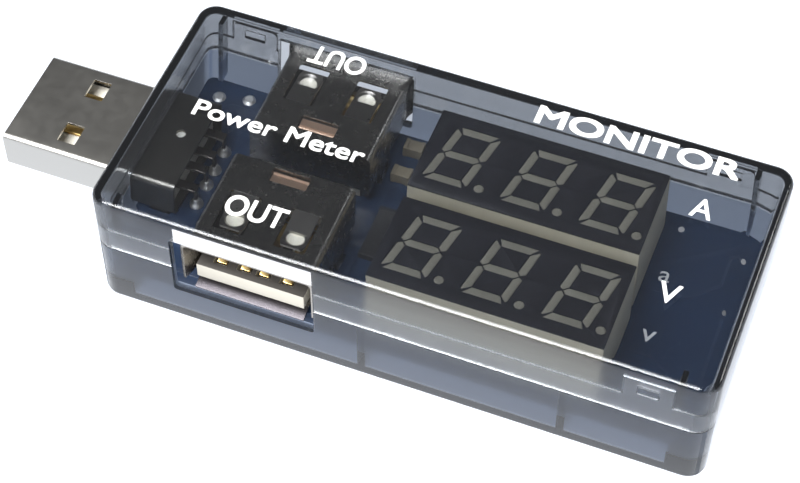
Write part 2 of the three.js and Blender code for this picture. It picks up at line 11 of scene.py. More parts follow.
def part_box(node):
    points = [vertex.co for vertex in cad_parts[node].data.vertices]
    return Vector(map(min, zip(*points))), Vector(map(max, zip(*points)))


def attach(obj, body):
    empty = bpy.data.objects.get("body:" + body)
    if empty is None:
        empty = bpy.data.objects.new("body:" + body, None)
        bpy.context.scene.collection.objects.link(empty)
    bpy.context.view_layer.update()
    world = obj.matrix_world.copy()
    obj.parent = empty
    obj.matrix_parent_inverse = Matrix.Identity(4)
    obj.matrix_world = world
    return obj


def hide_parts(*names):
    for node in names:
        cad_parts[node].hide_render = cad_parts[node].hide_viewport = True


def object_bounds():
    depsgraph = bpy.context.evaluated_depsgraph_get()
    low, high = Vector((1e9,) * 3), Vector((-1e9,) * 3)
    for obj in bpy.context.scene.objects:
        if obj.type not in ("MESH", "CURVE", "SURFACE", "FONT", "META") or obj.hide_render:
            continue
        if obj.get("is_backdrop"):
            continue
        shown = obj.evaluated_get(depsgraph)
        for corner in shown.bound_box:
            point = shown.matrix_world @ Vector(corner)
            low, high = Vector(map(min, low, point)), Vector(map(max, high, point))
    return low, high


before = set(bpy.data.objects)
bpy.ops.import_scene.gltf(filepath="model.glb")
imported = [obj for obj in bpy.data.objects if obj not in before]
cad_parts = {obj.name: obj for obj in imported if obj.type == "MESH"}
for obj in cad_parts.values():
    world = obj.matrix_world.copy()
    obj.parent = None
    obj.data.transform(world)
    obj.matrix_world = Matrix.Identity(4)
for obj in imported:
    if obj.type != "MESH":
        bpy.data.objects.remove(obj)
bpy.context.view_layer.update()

# ------------------------------------------------------------------------------------------------
# Lower shell. A moulded tray of smoky clear plastic. A thin lip stands up inside its wall for the
# cover to slide over, three sprung tabs rise from the lip, and ledges and ribs carry the board.

MM = 0.001
shell_low, shell_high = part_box("bottom_shell")
cover_low, cover_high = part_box("top_cover")
PARTING = 8.0 * MM
PARTING_GAP = 0.1 * MM
WALL = 0.85 * MM
FLOOR = 1.0 * MM
TOP_PLATE = 1.0 * MM
LIP = 0.35 * MM
LIP_TOP = PARTING + 2.5 * MM
LAP_GAP = 0.1 * MM
CORNER_RADIUS = 2.0 * MM
port_x0 = -23.1 * MM
port_x1 = -8.1 * MM
port_z0 = 4.6 * MM
port_z1 = 12.4 * MM
CAVITY_RADIUS = 1.2 * MM
UNDER_EDGE = 0.6 * MM
TOP_EDGE = 0.6 * MM
FINE_EDGE = 0.06 * MM
inner_x = shell_high[0] - WALL
inner_y = shell_high[1] - WALL
board_low, board_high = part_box("main_board")
SAME_PLACE = 1e-7
RIM_STEPS = 4


def edges_along(bm, axis):
    """The edges that run along one axis."""
    others = [i for i in range(3) if i != axis]
    return [e for e in bm.edges
            if all(abs(e.verts[0].co[i] - e.verts[1].co[i]) < SAME_PLACE for i in others)]


def edges_at(bm, axis, level):
    """The edges that lie in a plane square to one axis."""
    return [e for e in bm.edges if all(abs(v.co[axis] - level) < SAME_PLACE for v in e.verts)]


def round_edges(bm, edges, radius, segments):
    bmesh.ops.bevel(bm, geom=edges, offset=radius, segments=segments,
                    affect="EDGES", profile=0.5, material=-1)


def rounded_box(low, high, axis=2, radius=0.0, rims=(), segments=8):
    """A box whose edges along one axis are rounded. rims gives (axis, level, radius) for end rims."""
    bm = bmesh.new()
    bmesh.ops.create_cube(bm, size=1)
    size = [b - a for a, b in zip(low, high)]
    middle = [(a + b) / 2 for a, b in zip(low, high)]
    bmesh.ops.scale(bm, vec=size, verts=bm.verts)
    bmesh.ops.translate(bm, vec=middle, verts=bm.verts)
    if radius:
        round_edges(bm, edges_along(bm, axis), radius, segments)
    for rim_axis, level, rim_radius in rims:
        round_edges(bm, edges_at(bm, rim_axis, level), rim_radius, RIM_STEPS)
    return bm


def add_object(name, data):
    """Puts a mesh, curve, lamp or camera into the scene as an object at the origin."""
    made = bpy.data.objects.new(name, data)
    bpy.context.collection.objects.link(made)
    return made


def mesh_object(name, bm):
    """Makes a bmesh into an object and frees it."""
    mesh = bpy.data.meshes.new(name)
    bm.to_mesh(mesh)
    bm.free()
    return add_object(name, mesh)


def solid_object(name, bm):
    """Makes a bmesh into an object, with every face turned outwards."""
    bmesh.ops.recalc_face_normals(bm, faces=bm.faces)
    return mesh_object(name, bm)


def settle(piece):
    """Makes the piece's modifiers part of its mesh."""
    bpy.context.view_layer.update()
    depsgraph = bpy.context.evaluated_depsgraph_get()
    shaped = bpy.data.meshes.new_from_object(piece.evaluated_get(depsgraph))
    piece.modifiers.clear()
    plain = piece.data
    piece.data = shaped
    bpy.data.meshes.remove(plain)


def carve(piece, *tools, operation="DIFFERENCE"):
    """Cuts each tool, a bmesh, out of the piece, or joins it on with operation "UNION"."""
    for bm in tools:
        tool = solid_object("tool", bm)
        modifier = piece.modifiers.new("carve", "BOOLEAN")
        modifier.object = tool
        modifier.operation = operation
        modifier.solver = "EXACT"
        settle(piece)
        bpy.data.objects.remove(tool)


def soften(piece, width, segments=2, angle=30):
    """Rounds every sharp edge a little and shades the flat faces flat."""
    piece.data.shade_smooth()
    modifier = piece.modifiers.new("fine edges", "BEVEL")
    modifier.width = width
    modifier.segments = segments
    modifier.limit_method = "ANGLE"
    modifier.angle_limit = math.radians(angle)
    modifier.harden_normals = True
    modifier.use_clamp_overlap = True


def finish_piece(piece, material, slot, *nodes, body="case"):
    """Gives a piece its material and its place in the frame."""
    piece.data.materials.clear()
    piece.data.materials.append(material)
    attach(piece, body)
    if nodes:
        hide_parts(*nodes)


def new_material(name):
    """A material with its node tree and its Principled shader."""
    material = bpy.data.materials.new(name)
    material.use_nodes = True
    return material, material.node_tree, material.node_tree.nodes["Principled BSDF"]


def grain_group():
    """Fine moulded grain: noise that varies the roughness and lifts the surface a little."""
    group = bpy.data.node_groups.new("surface grain", "ShaderNodeTree")
    for name, value in (("Scale", 900.0), ("Roughness", 0.3), ("Variation", 0.1), ("Depth", 0.1)):
        socket = group.interface.new_socket(name, in_out="INPUT", socket_type="NodeSocketFloat")
        socket.default_value = value
    group.interface.new_socket("Roughness", in_out="OUTPUT", socket_type="NodeSocketFloat")
    group.interface.new_socket("Normal", in_out="OUTPUT", socket_type="NodeSocketVector")
    nodes = group.nodes
    links = group.links
    given = nodes.new("NodeGroupInput")
    result = nodes.new("NodeGroupOutput")
    place = nodes.new("ShaderNodeTexCoord")
    noise = nodes.new("ShaderNodeTexNoise")
    noise.inputs["Detail"].default_value = 3.0
    links.new(place.outputs["Object"], noise.inputs["Vector"])
    links.new(given.outputs["Scale"], noise.inputs["Scale"])
    centred = nodes.new("ShaderNodeMath")
    centred.operation = "SUBTRACT"
    centred.inputs[1].default_value = 0.5
    links.new(noise.outputs["Fac"], centred.inputs[0])
    spread = nodes.new("ShaderNodeMath")
    spread.operation = "MULTIPLY_ADD"
    links.new(centred.outputs[0], spread.inputs[0])
    links.new(given.outputs["Variation"], spread.inputs[1])
    links.new(given.outputs["Roughness"], spread.inputs[2])
    links.new(spread.outputs[0], result.inputs["Roughness"])
    bump = nodes.new("ShaderNodeBump")
    bump.inputs["Distance"].default_value = 0.02 * MM
    links.new(given.outputs["Depth"], bump.inputs["Strength"])
    links.new(noise.outputs["Fac"], bump.inputs["Height"])
    links.new(bump.outputs["Normal"], result.inputs["Normal"])
    return group


SURFACE_GRAIN = grain_group()


def add_grain(tree, shader, scale, roughness, variation, depth):
    """Feeds a shader's roughness and normal from the surface grain."""
    grain = tree.nodes.new("ShaderNodeGroup")
    grain.node_tree = SURFACE_GRAIN
    grain.inputs["Scale"].default_value = scale
    grain.inputs["Roughness"].default_value = roughness
    grain.inputs["Variation"].default_value = variation
    grain.inputs["Depth"].default_value = depth
    tree.links.new(grain.outputs["Roughness"], shader.inputs["Roughness"])
    tree.links.new(grain.outputs["Normal"], shader.inputs["Normal"])
    return grain


WALL_FROST = 0.12
FRONT_FROST = 0.3
TRAY_FROST = 0.5
TRAY_TINT = (0.6, 0.71, 0.93, 1)
# Painted shade: the colour laid on the front wall's inner face, and how far below the port's top it
# begins.
FRONT_SHADE = (0.42, 0.38, 0.4, 1)
FRONT_SHADE_RISE = 0.6 * MM
# Painted light: where along the strip over the front port the white begins, and how strongly it is mixed
# in.
LINTEL_START = 0.6 * MM
LINTEL_PAINTED_LIGHT = 0.55


def wall_frost_and_painted_light_group():
    """Where the moulding is matt, tinted or painted with shade: matt a little on the walls' inner faces,
    more on the front wall's, most in the tray; tinted in the tray; painted shade on the front wall's
    inner face, darker towards the top plate. Lintel marks the strip of outer face over the front
    port, where painted white light goes."""
    group = bpy.data.node_groups.new("wall frost and painted light", "ShaderNodeTree")
    group.interface.new_socket("Roughness", in_out="INPUT", socket_type="NodeSocketFloat")
    group.interface.new_socket("Roughness", in_out="OUTPUT", socket_type="NodeSocketFloat")
    group.interface.new_socket("Colour", in_out="OUTPUT", socket_type="NodeSocketColor")
    group.interface.new_socket("Lintel", in_out="OUTPUT", socket_type="NodeSocketFloat")
    nodes = group.nodes
    links = group.links
    given = nodes.new("NodeGroupInput")
    result = nodes.new("NodeGroupOutput")
    place = nodes.new("ShaderNodeTexCoord")
    point = nodes.new("ShaderNodeSeparateXYZ")
    facing = nodes.new("ShaderNodeSeparateXYZ")
    links.new(place.outputs["Object"], point.inputs[0])
    links.new(place.outputs["Normal"], facing.inputs[0])

    def math_node(operation, first, second=0.0):
        node = nodes.new("ShaderNodeMath")
        node.operation = operation
        links.new(first, node.inputs[0])
        if isinstance(second, float):
            node.inputs[1].default_value = second
        else:
            links.new(second, node.inputs[1])
        return node.outputs[0]

    inside_y = math_node("LESS_THAN", math_node("ABSOLUTE", point.outputs["Y"]), inner_y + 0.5 * WALL)
    inside_x = math_node("LESS_THAN", math_node("ABSOLUTE", point.outputs["X"]), inner_x + 0.5 * WALL)
    inside = math_node("MULTIPLY", inside_x, inside_y)
    upright = math_node("LESS_THAN", math_node("ABSOLUTE", facing.outputs["Z"]), 0.5)
    low = math_node("LESS_THAN", point.outputs["Z"], PARTING)
    above_floor = math_node("GREATER_THAN", point.outputs["Z"], 0.5 * FLOOR)
    tray = math_node("MULTIPLY", math_node("MULTIPLY", low, above_floor), inside)
    wall = math_node("MULTIPLY", inside, upright)
    front = math_node("LESS_THAN", point.outputs["Y"], -(inner_y - WALL))
    front_wall = math_node("MULTIPLY", front, wall)
    wall_added = math_node("MULTIPLY", wall, WALL_FROST)
    front_added = math_node("MULTIPLY", front_wall, FRONT_FROST)
    tray_added = math_node("MULTIPLY", tray, TRAY_FROST)
    added = math_node("MAXIMUM", math_node("MAXIMUM", wall_added, front_added), tray_added)
    links.new(math_node("ADD", given.outputs["Roughness"], added), result.inputs["Roughness"])
    tint = nodes.new("ShaderNodeValToRGB")
    tint.color_ramp.elements[0].color = (1, 1, 1, 1)
    tint.color_ramp.elements[1].color = TRAY_TINT
    links.new(tray, tint.inputs["Fac"])
    # Painted shade: darker up the front wall's inner face towards the underside of the top plate.
    climb = nodes.new("ShaderNodeMapRange")
    climb.inputs["From Min"].default_value = port_z1 - FRONT_SHADE_RISE
    climb.inputs["From Max"].default_value = cover_high[2] - TOP_PLATE
    links.new(point.outputs["Z"], climb.inputs["Value"])
    shade = math_node("MULTIPLY", climb.outputs["Result"], front_wall)
    shading = nodes.new("ShaderNodeValToRGB")
    shading.color_ramp.elements[0].color = (1, 1, 1, 1)
    shading.color_ramp.elements[1].color = FRONT_SHADE
    links.new(shade, shading.inputs["Fac"])
    colour = nodes.new("ShaderNodeVectorMath")
    colour.operation = "MULTIPLY"
    links.new(tint.outputs["Color"], colour.inputs[0])
    links.new(shading.outputs["Color"], colour.inputs[1])
    links.new(colour.outputs[0], result.inputs["Colour"])
    # Painted light: a white patch on the outer face over the front port.
    outer = math_node("LESS_THAN", point.outputs["Y"], -(shell_high[1] - 0.02 * MM))
    after = math_node("GREATER_THAN", point.outputs["X"], port_x0 + LINTEL_START)
    before = math_node("LESS_THAN", point.outputs["X"], port_x1)
    over = math_node("GREATER_THAN", point.outputs["Z"], port_z1)
    along = math_node("MULTIPLY", after, before)
    span = math_node("MULTIPLY", math_node("MULTIPLY", outer, over), along)
    links.new(math_node("MULTIPLY", span, LINTEL_PAINTED_LIGHT), result.inputs["Lintel"])
    return group


def smoky_plastic():
    """Clear polycarbonate: a grey dye that darkens with thickness, and a faint painted glow in its body
    that stands in for light scattered in the cloudy plastic. It lets the table's light through to what
    is inside, so the case casts no dark shadow."""
    material, tree, shader = new_material("smoky clear plastic")
    wire = tree.links.new
    shader.inputs["Transmission Weight"].default_value = 1.0
    shader.inputs["IOR"].default_value = 1.5
    shader.inputs["Specular IOR Level"].default_value = 0.5
    grain = add_grain(tree, shader, 1400, 0.03, 0.04, 0.015)
    # This node gives the frost's roughness, the tray's tint with the front wall's painted shade, and the
    # painted light over the port.
    frost = tree.nodes.new("ShaderNodeGroup")
    frost.node_tree = wall_frost_and_painted_light_group()
    wire(grain.outputs["Roughness"], frost.inputs["Roughness"])
    wire(frost.outputs["Roughness"], shader.inputs["Roughness"])
    wire(frost.outputs["Colour"], shader.inputs["Base Color"])
    clear = tree.nodes.new("ShaderNodeBsdfTransparent")
    path = tree.nodes.new("ShaderNodeLightPath")
    mix = tree.nodes.new("ShaderNodeMixShader")
    output = tree.nodes["Material Output"]
    wire(path.outputs["Is Shadow Ray"], mix.inputs["Fac"])
    # Painted light: a white diffuse surface, mixed in over the front port, stands in for light seen
    # through the port.
    matt = tree.nodes.new("ShaderNodeBsdfDiffuse")
    matt.inputs["Color"].default_value = (0.9, 0.9, 0.92, 1)
    painted_light_patch = tree.nodes.new("ShaderNodeMixShader")
    wire(frost.outputs["Lintel"], painted_light_patch.inputs["Fac"])
    wire(shader.outputs["BSDF"], painted_light_patch.inputs[1])
    wire(matt.outputs["BSDF"], painted_light_patch.inputs[2])
    wire(painted_light_patch.outputs["Shader"], mix.inputs[1])
    wire(clear.outputs["BSDF"], mix.inputs[2])
    wire(mix.outputs["Shader"], output.inputs["Surface"])
    dye = tree.nodes.new("ShaderNodeVolumeAbsorption")
    dye.inputs["Color"].default_value = (0.30, 0.33, 0.37, 1)
    dye.inputs["Density"].default_value = 1130.0
    # Painted glow: a faint emission in the plastic's body, not a lamp.
    painted_glow = tree.nodes.new("ShaderNodeEmission")
    painted_glow.inputs["Color"].default_value = (0.9, 0.92, 1, 1)
    painted_glow.inputs["Strength"].default_value = 13.0
    body = tree.nodes.new("ShaderNodeAddShader")
    wire(dye.outputs["Volume"], body.inputs[0])
    wire(painted_glow.outputs["Emission"], body.inputs[1])
    wire(body.outputs["Shader"], output.inputs["Volume"])
    return material


SMOKY = smoky_plastic()

plug_low, plug_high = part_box("plug_shell")
PLUG_SECTION_BOTTOM = 4.75 * MM
PLUG_CLEARANCE = 0.2 * MM


def port_tool():
    """The opening through both long walls in front of the sockets."""
    return rounded_box((port_x0, shell_low[1] - MM, port_z0), (port_x1, shell_high[1] + MM, port_z1),
                       axis=1, radius=0.35 * MM, segments=4)


def plug_port_tool():
    """The opening in the end wall that the plug stands out of."""
    return rounded_box(
        (shell_low[0] - MM, plug_low[1] - PLUG_CLEARANCE, PLUG_SECTION_BOTTOM - 0.15 * MM),
        (-inner_x + MM, plug_high[1] + PLUG_CLEARANCE, plug_high[2] + PLUG_CLEARANCE),
        axis=0, radius=0.5 * MM, segments=4)


def cavity_tool(growth, z0, z1, rims=()):
    """The space inside the walls between two heights, grown outwards a little for a lip."""
    half_x = inner_x + growth
    half_y = inner_y + growth
    return rounded_box((-half_x, -half_y, z0), (half_x, half_y, z1),
                       radius=CAVITY_RADIUS + growth, segments=6, rims=rims)


def wall_box(side, x0, x1, near, far, z0, z1, radius=0.0, axis=2):
    """A box against one long wall, given by its distances from the middle plane."""
    low_y, high_y = (near, far) if side > 0 else (-far, -near)
    return rounded_box((x0, low_y, z0), (x1, high_y, z1), axis=axis, radius=radius, segments=3)


CLIPS = ((-28.1 * MM, -23.3 * MM, 1), (22.9 * MM, 27.6 * MM, 1), (22.9 * MM, 27.6 * MM, -1))
TAB_TOP = shell_high[2]
WINDOW_HALF = 1.15 * MM
WINDOW_Z = (11.1 * MM, 12.4 * MM)
HOOK_GAP = 0.15 * MM
HOOK_GAP_TOP = 0.2 * MM
RIB_X = (-3.3 * MM, 17.3 * MM)
RIB_HALF = 0.4 * MM
RIB_REACH = 4.0 * MM
RIB_STEP = 0.35 * MM
RIB_TOP = 7.5 * MM
LEDGE = 3.0 * MM
EMBED = 0.2 * MM
WELL_CLEAR = 20 * MM

bottom = solid_object("lower_shell", rounded_box(
    (shell_low[0], shell_low[1], 0), (shell_high[0], shell_high[1], PARTING),
    radius=CORNER_RADIUS, segments=12, rims=((2, 0.0, UNDER_EDGE),)))
carve(bottom, cavity_tool(LIP, PARTING - 0.5 * MM, LIP_TOP), operation="UNION")
for x0, x1, side in CLIPS:
    carve(bottom, wall_box(side, x0, x1, inner_y + 0.02 * MM, inner_y + LIP, PARTING - EMBED, TAB_TOP,
                           radius=0.5 * MM, axis=1), operation="UNION")
carve(bottom, cavity_tool(0, FLOOR, WELL_CLEAR, rims=((2, FLOOR, 0.3 * MM),)))
for x0, x1, side in CLIPS:
    middle = (x0 + x1) / 2
    carve(bottom, wall_box(side, middle - WINDOW_HALF, middle + WINDOW_HALF,
                           inner_y - MM, inner_y + LIP + MM, *WINDOW_Z, radius=0.15 * MM, axis=1))
for side in (-1, 1):
    for x in RIB_X:
        carve(bottom,
              wall_box(side, x - RIB_HALF, x + RIB_HALF, inner_y - RIB_REACH, inner_y + EMBED,
                       FLOOR - EMBED, board_low[2]),
              wall_box(side, x - RIB_HALF, x + RIB_HALF, inner_y - RIB_STEP, inner_y + EMBED,
                       FLOOR - EMBED, RIB_TOP), operation="UNION")
    for end in (-1, 1):
        outer = end * (inner_x + EMBED)
        inner = end * (inner_x - LEDGE)
        carve(bottom, wall_box(side, min(outer, inner), max(outer, inner), inner_y - LEDGE,
                               inner_y + EMBED, FLOOR - EMBED, board_low[2]), operation="UNION")
carve(bottom, port_tool(), plug_port_tool())
soften(bottom, FINE_EDGE)
finish_piece(bottom, SMOKY, "smoky_case", "bottom_shell")

# ------------------------------------------------------------------------------------------------
# Cover. The same smoky plastic, with a rounded top rim. Its skirt is stepped to slide over the
# lower shell's lip, and it has a pocket and a hook for each tab, and a rib in each corner.

cover = solid_object("cover", rounded_box(
    (cover_low[0], cover_low[1], PARTING + PARTING_GAP), (cover_high[0], cover_high[1], cover_high[2]),
    radius=CORNER_RADIUS, segments=12, rims=((2, cover_high[2], TOP_EDGE),)))
plate_under = cover_high[2] - TOP_PLATE
carve(cover,
      cavity_tool(0, 5 * MM, plate_under, rims=((2, plate_under, 0.2 * MM),)),
      cavity_tool(LIP + LAP_GAP, 5 * MM, LIP_TOP + LAP_GAP))
for x0, x1, side in CLIPS:
    middle = (x0 + x1) / 2
    carve(cover, wall_box(side, x0 - HOOK_GAP, x1 + HOOK_GAP, inner_y - 0.1 * MM,
                          inner_y + LIP + LAP_GAP, PARTING, TAB_TOP + HOOK_GAP_TOP))
    carve(cover, wall_box(side, middle - WINDOW_HALF + HOOK_GAP, middle + WINDOW_HALF - HOOK_GAP,
                          inner_y + HOOK_GAP, inner_y + LIP + LAP_GAP + 0.1 * MM,
                          WINDOW_Z[0] + HOOK_GAP, WINDOW_Z[1] - HOOK_GAP), operation="UNION")
HOLD_DOWN_X = (-29.0 * MM, 28.1 * MM)
HOLD_DOWN_HALF = 0.25 * MM
HOLD_DOWN_REACH = 1.4 * MM
for side in (-1, 1):
    for x in HOLD_DOWN_X:
        carve(cover, wall_box(side, x - HOLD_DOWN_HALF, x + HOLD_DOWN_HALF,
                              inner_y - HOLD_DOWN_REACH, inner_y - 0.08 * MM,
                              board_high[2] + 0.1 * MM, plate_under + 0.3 * MM), operation="UNION")
carve(cover, port_tool(), plug_port_tool())
soften(cover, FINE_EDGE)
finish_piece(cover, SMOKY, "smoky_case", "top_cover")

# ------------------------------------------------------------------------------------------------
# Circuit board. Woven glass and epoxy under a dark blue solder mask, drilled for every tail and
# pin, with slightly raised copper tracks under the mask, tinned pads and white printed marks.


def refined_copy(node, name, edge, segments=2):
    """A copy of a CAD node with its triangles merged into whole faces and its edges rounded."""
    bm = bmesh.new()
    bm.from_mesh(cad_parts[node].data)
    bmesh.ops.remove_doubles(bm, verts=bm.verts, dist=1e-6)
    bmesh.ops.dissolve_limit(bm, angle_limit=math.radians(1), verts=bm.verts, edges=bm.edges)
    piece = mesh_object(name, bm)
    soften(piece, edge, segments)
    return piece


def solder_mask(name, colour, raised):
    """Glossy ink with soft blotches; raised is how much lighter the light ones are."""
    material, tree, shader = new_material(name)
    wire = tree.links.new
    shader.inputs["Coat Weight"].default_value = 0.3
    shader.inputs["Coat Roughness"].default_value = 0.15
    add_grain(tree, shader, 2600, 0.38, 0.16, 0.25)
    place = tree.nodes.new("ShaderNodeTexCoord")
    blotch = tree.nodes.new("ShaderNodeTexNoise")
    blotch.inputs["Scale"].default_value = 160
    ramp = tree.nodes.new("ShaderNodeValToRGB")
    ramp.color_ramp.elements[0].color = (*[c * 0.8 for c in colour], 1)
    ramp.color_ramp.elements[1].color = (*[c * raised for c in colour], 1)
    wire(place.outputs["Object"], blotch.inputs["Vector"])
    wire(blotch.outputs["Fac"], ramp.inputs["Fac"])
    wire(ramp.outputs["Color"], shader.inputs["Base Color"])
    return material


BLUE_MASK = solder_mask("blue solder mask", (0.012, 0.027, 0.062), 1.3)
TRACK_MASK = solder_mask("mask over copper", (0.018, 0.034, 0.072), 1.2)


def metal(name, colour, roughness, variation=0.1, scale=1200, depth=0.1):
    """A bare metal of one colour, with fine grain."""
    material, tree, shader = new_material(name)
    shader.inputs["Base Color"].default_value = (*colour, 1)
    shader.inputs["Metallic"].default_value = 1.0
    add_grain(tree, shader, scale, roughness, variation, depth)
    return material


SOLDER = metal("solder", (0.8, 0.78, 0.74), 0.42, 0.2, 2200, 0.5)


def plain_material(name, colour, roughness, variation=0.12, scale=1500, depth=0.2):
    """A plastic, ceramic or ink of one colour, faintly mottled, with fine grain."""
    material, tree, shader = new_material(name)
    wire = tree.links.new
    add_grain(tree, shader, scale, roughness, variation, depth)
    place = tree.nodes.new("ShaderNodeTexCoord")
    noise = tree.nodes.new("ShaderNodeTexNoise")
    noise.inputs["Scale"].default_value = 420
    noise.inputs["Detail"].default_value = 4
    ramp = tree.nodes.new("ShaderNodeValToRGB")
    ramp.color_ramp.elements[0].position = 0.3
    ramp.color_ramp.elements[1].position = 0.7
    ramp.color_ramp.elements[0].color = (*[c * 0.93 for c in colour], 1)
    ramp.color_ramp.elements[1].color = (*[min(c * 1.05, 1) for c in colour], 1)
    wire(place.outputs["Object"], noise.inputs["Vector"])
    wire(noise.outputs["Fac"], ramp.inputs["Fac"])
    wire(ramp.outputs["Color"], shader.inputs["Base Color"])
    return material


board = refined_copy("main_board", "circuit_board", 0.06 * MM)
finish_piece(board, BLUE_MASK, "board_mask", "main_board")

TRACK_LIFT = 0.035 * MM
board_top = board_high[2]
board_under = board_low[2]


def ribbon(bm, path, width, z0, z1):
    """A flat track along a path of (x, y) points in millimetres, from height z0 to z1."""
    for start, end in zip(path, path[1:]):
        a = Vector((start[0] * MM, start[1] * MM, 0))
        b = Vector((end[0] * MM, end[1] * MM, 0))
        run = b - a
        made = bmesh.ops.create_cube(bm, size=1)["verts"]
        bmesh.ops.scale(bm, vec=(run.length + width * 0.5, width, z1 - z0), verts=made)
        bmesh.ops.rotate(bm, cent=(0, 0, 0), verts=made,
                         matrix=Matrix.Rotation(math.atan2(run.y, run.x), 3, "Z"))
        bmesh.ops.translate(bm, vec=(a + b) / 2 + Vector((0, 0, (z0 + z1) / 2)), verts=made)


def disc(bm, x, y, radius, z0, z1, sides=20, top_radius=None):
    """A round plate, or a cone cut short where it has a top radius of its own."""
    top = radius if top_radius is None else top_radius
    made = bmesh.ops.create_cone(bm, cap_ends=True, segments=sides, radius1=radius, radius2=top,
                                 depth=z1 - z0)["verts"]
    bmesh.ops.translate(bm, vec=(x, y, (z0 + z1) / 2), verts=made)


TOP_TRACKS = (
    ([(21.2, 3.0), (24.5, 3.0), (27.2, 5.6), (27.2, 9.0), (28.8, 9.0)], 0.35),
    ([(21.2, -4.5), (23.4, -4.5), (26.8, -7.9), (26.8, -11.0)], 0.35),
    ([(28.6, -9.5), (28.6, 2.0)], 0.5),
    ([(-24.0, 9.8), (-26.8, 9.8), (-28.4, 8.2), (-28.4, 7.2)], 0.4),
    ([(-24.2, -8.6), (-27.4, -8.6), (-28.6, -9.8)], 0.4),
    ([(-7.6, 2.6), (-7.6, 5.2), (-6.2, 6.6)], 0.4),
    ([(-7.6, -4.0), (-7.6, -9.6), (-6.4, -10.8)], 0.4),
)
UNDER_TRACKS = (
    ([(-24.8, 3.5), (-19.0, 3.5), (-15.0, 7.4), (-2.0, 7.4)], 0.5),
    ([(-24.8, -3.5), (-20.0, -3.5), (-16.6, -7.0), (0.0, -7.0)], 0.5),
    ([(-24.8, 1.0), (-12.0, 1.0), (-9.6, 3.4), (-4.6, 3.4)], 0.35),
    ([(-24.8, -1.0), (-13.0, -1.0), (-9.0, 0.6), (-5.0, 0.6)], 0.35),
    ([(1.2, 4.0), (3.4, 0.3), (20.6, 0.3)], 0.3),
    ([(2.2, -0.6), (21.0, -0.6)], 0.3),
    ([(15.0, 5.5), (20.5, 5.5), (23.0, 7.0)], 0.5),
    ([(22.0, -5.2), (18.0, -9.6), (6.0, -9.6)], 0.35),
)
track_bm = bmesh.new()
for path, width in TOP_TRACKS:
    ribbon(track_bm, path, width * MM, board_top - TRACK_LIFT, board_top + TRACK_LIFT)
for path, width in UNDER_TRACKS:
    ribbon(track_bm, path, width * MM, board_under - TRACK_LIFT, board_under + TRACK_LIFT)
tracks = solid_object("board_tracks", track_bm)
finish_piece(tracks, TRACK_MASK, "board_mask")

# Filled vias are flat tinned discs. The two test pads carry a low mound of solder.
VIAS = ((28.8, 9.0), (26.8, -11.0), (28.6, 2.0), (-28.6, -9.8), (-6.2, 6.6), (21.6, 10.6), (22.4, -10.4))
VIA_RADIUS = 0.32 * MM
PADS = ((-28.3, 10.0), (-25.2, 10.7))
PAD_RADIUS = 0.75 * MM
PAD_HEIGHT = 0.22 * MM
via_bm = bmesh.new()
for x, y in VIAS:
    disc(via_bm, x * MM, y * MM, VIA_RADIUS, board_top - TRACK_LIFT, board_top + 1.3 * TRACK_LIFT)
for x, y in PADS:
    disc(via_bm, x * MM, y * MM, PAD_RADIUS, board_top - TRACK_LIFT, board_top + PAD_HEIGHT,
         top_radius=0.6 * PAD_RADIUS)
vias = solid_object("board_pads", via_bm)
soften(vias, 0.02 * MM)
finish_piece(vias, SOLDER, "contact_plate")

# Solder joints: a small waisted cone round each tail, on the underside, and on top where it shows.
plug_tail_points = [(-24.85 * MM, y * MM) for y in (-3.5, -1.0, 1.0, 3.5)]
socket_tail_points = []
for end in ("front", "back"):
    for i in range(1, 5):
        low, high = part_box(f"{end}_socket_tail_{i}")
        leg_y = high[1] - 0.15 * MM if end == "front" else low[1] + 0.15 * MM
        socket_tail_points.append(((low[0] + high[0]) / 2, leg_y))


def solder_cone(bm, x, y, base, tip, start, rise):
    """A fillet of solder: a spun profile that sweeps in from a wide foot to the tail."""
    profile = ((base, 0), (base * 0.98, 0.1), (base * 0.72, 0.28),
               (tip * 1.25, 0.62), (tip, 0.92), (0, 1))
    made = [bm.verts.new((x + r, y, start + rise * h)) for r, h in profile]
    edges = [bm.edges.new(pair) for pair in zip(made, made[1:])]
    bmesh.ops.spin(bm, geom=made + edges, cent=(x, y, 0), axis=(0, 0, 1), angle=math.tau,
                   steps=14, use_merge=True)


PIN_PITCH = 2.54 * MM
PIN_ROW_Y = 3.81 * MM
solder_bm = bmesh.new()
for x, y in plug_tail_points:
    solder_cone(solder_bm, x, y, 0.75 * MM, 0.32 * MM, board_top, 0.85 * MM)
for x, y in plug_tail_points + socket_tail_points:
    solder_cone(solder_bm, x, y, 0.8 * MM, 0.34 * MM, board_under, -0.95 * MM)
for display in ("current", "voltage"):
    low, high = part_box(f"{display}_display_board")
    middle = ((low[0] + high[0]) / 2, (low[1] + high[1]) / 2)
    for column in range(6):
        for row in (-1, 1):
            solder_cone(solder_bm, middle[0] + (column - 2.5) * PIN_PITCH, middle[1] + row * PIN_ROW_Y,
                        0.75 * MM, 0.3 * MM, board_under, -0.8 * MM)
bmesh.ops.remove_doubles(solder_bm, verts=solder_bm.verts, dist=1e-7)
joints = solid_object("solder_joints", solder_bm)
joints.data.shade_smooth()
finish_piece(joints, SOLDER, "contact_plate")

# ------------------------------------------------------------------------------------------------
# USB-A plug. A nickel-plated steel shell folded from sheet, with two latch windows on each face
# and a seam underneath, round a white moulding that carries four gold-flashed contacts.

PLUG_SHEET = 0.3 * MM
PLUG_RADIUS = 0.6 * MM
NICKEL = (0.46, 0.45, 0.425)
NICKEL_PAINTED_SHADE_IN_CASE = (0.24, 0.225, 0.2)
PLUG_STEEL = metal("nickel-plated steel", NICKEL, 0.31, 0.12, 900, 0.05)


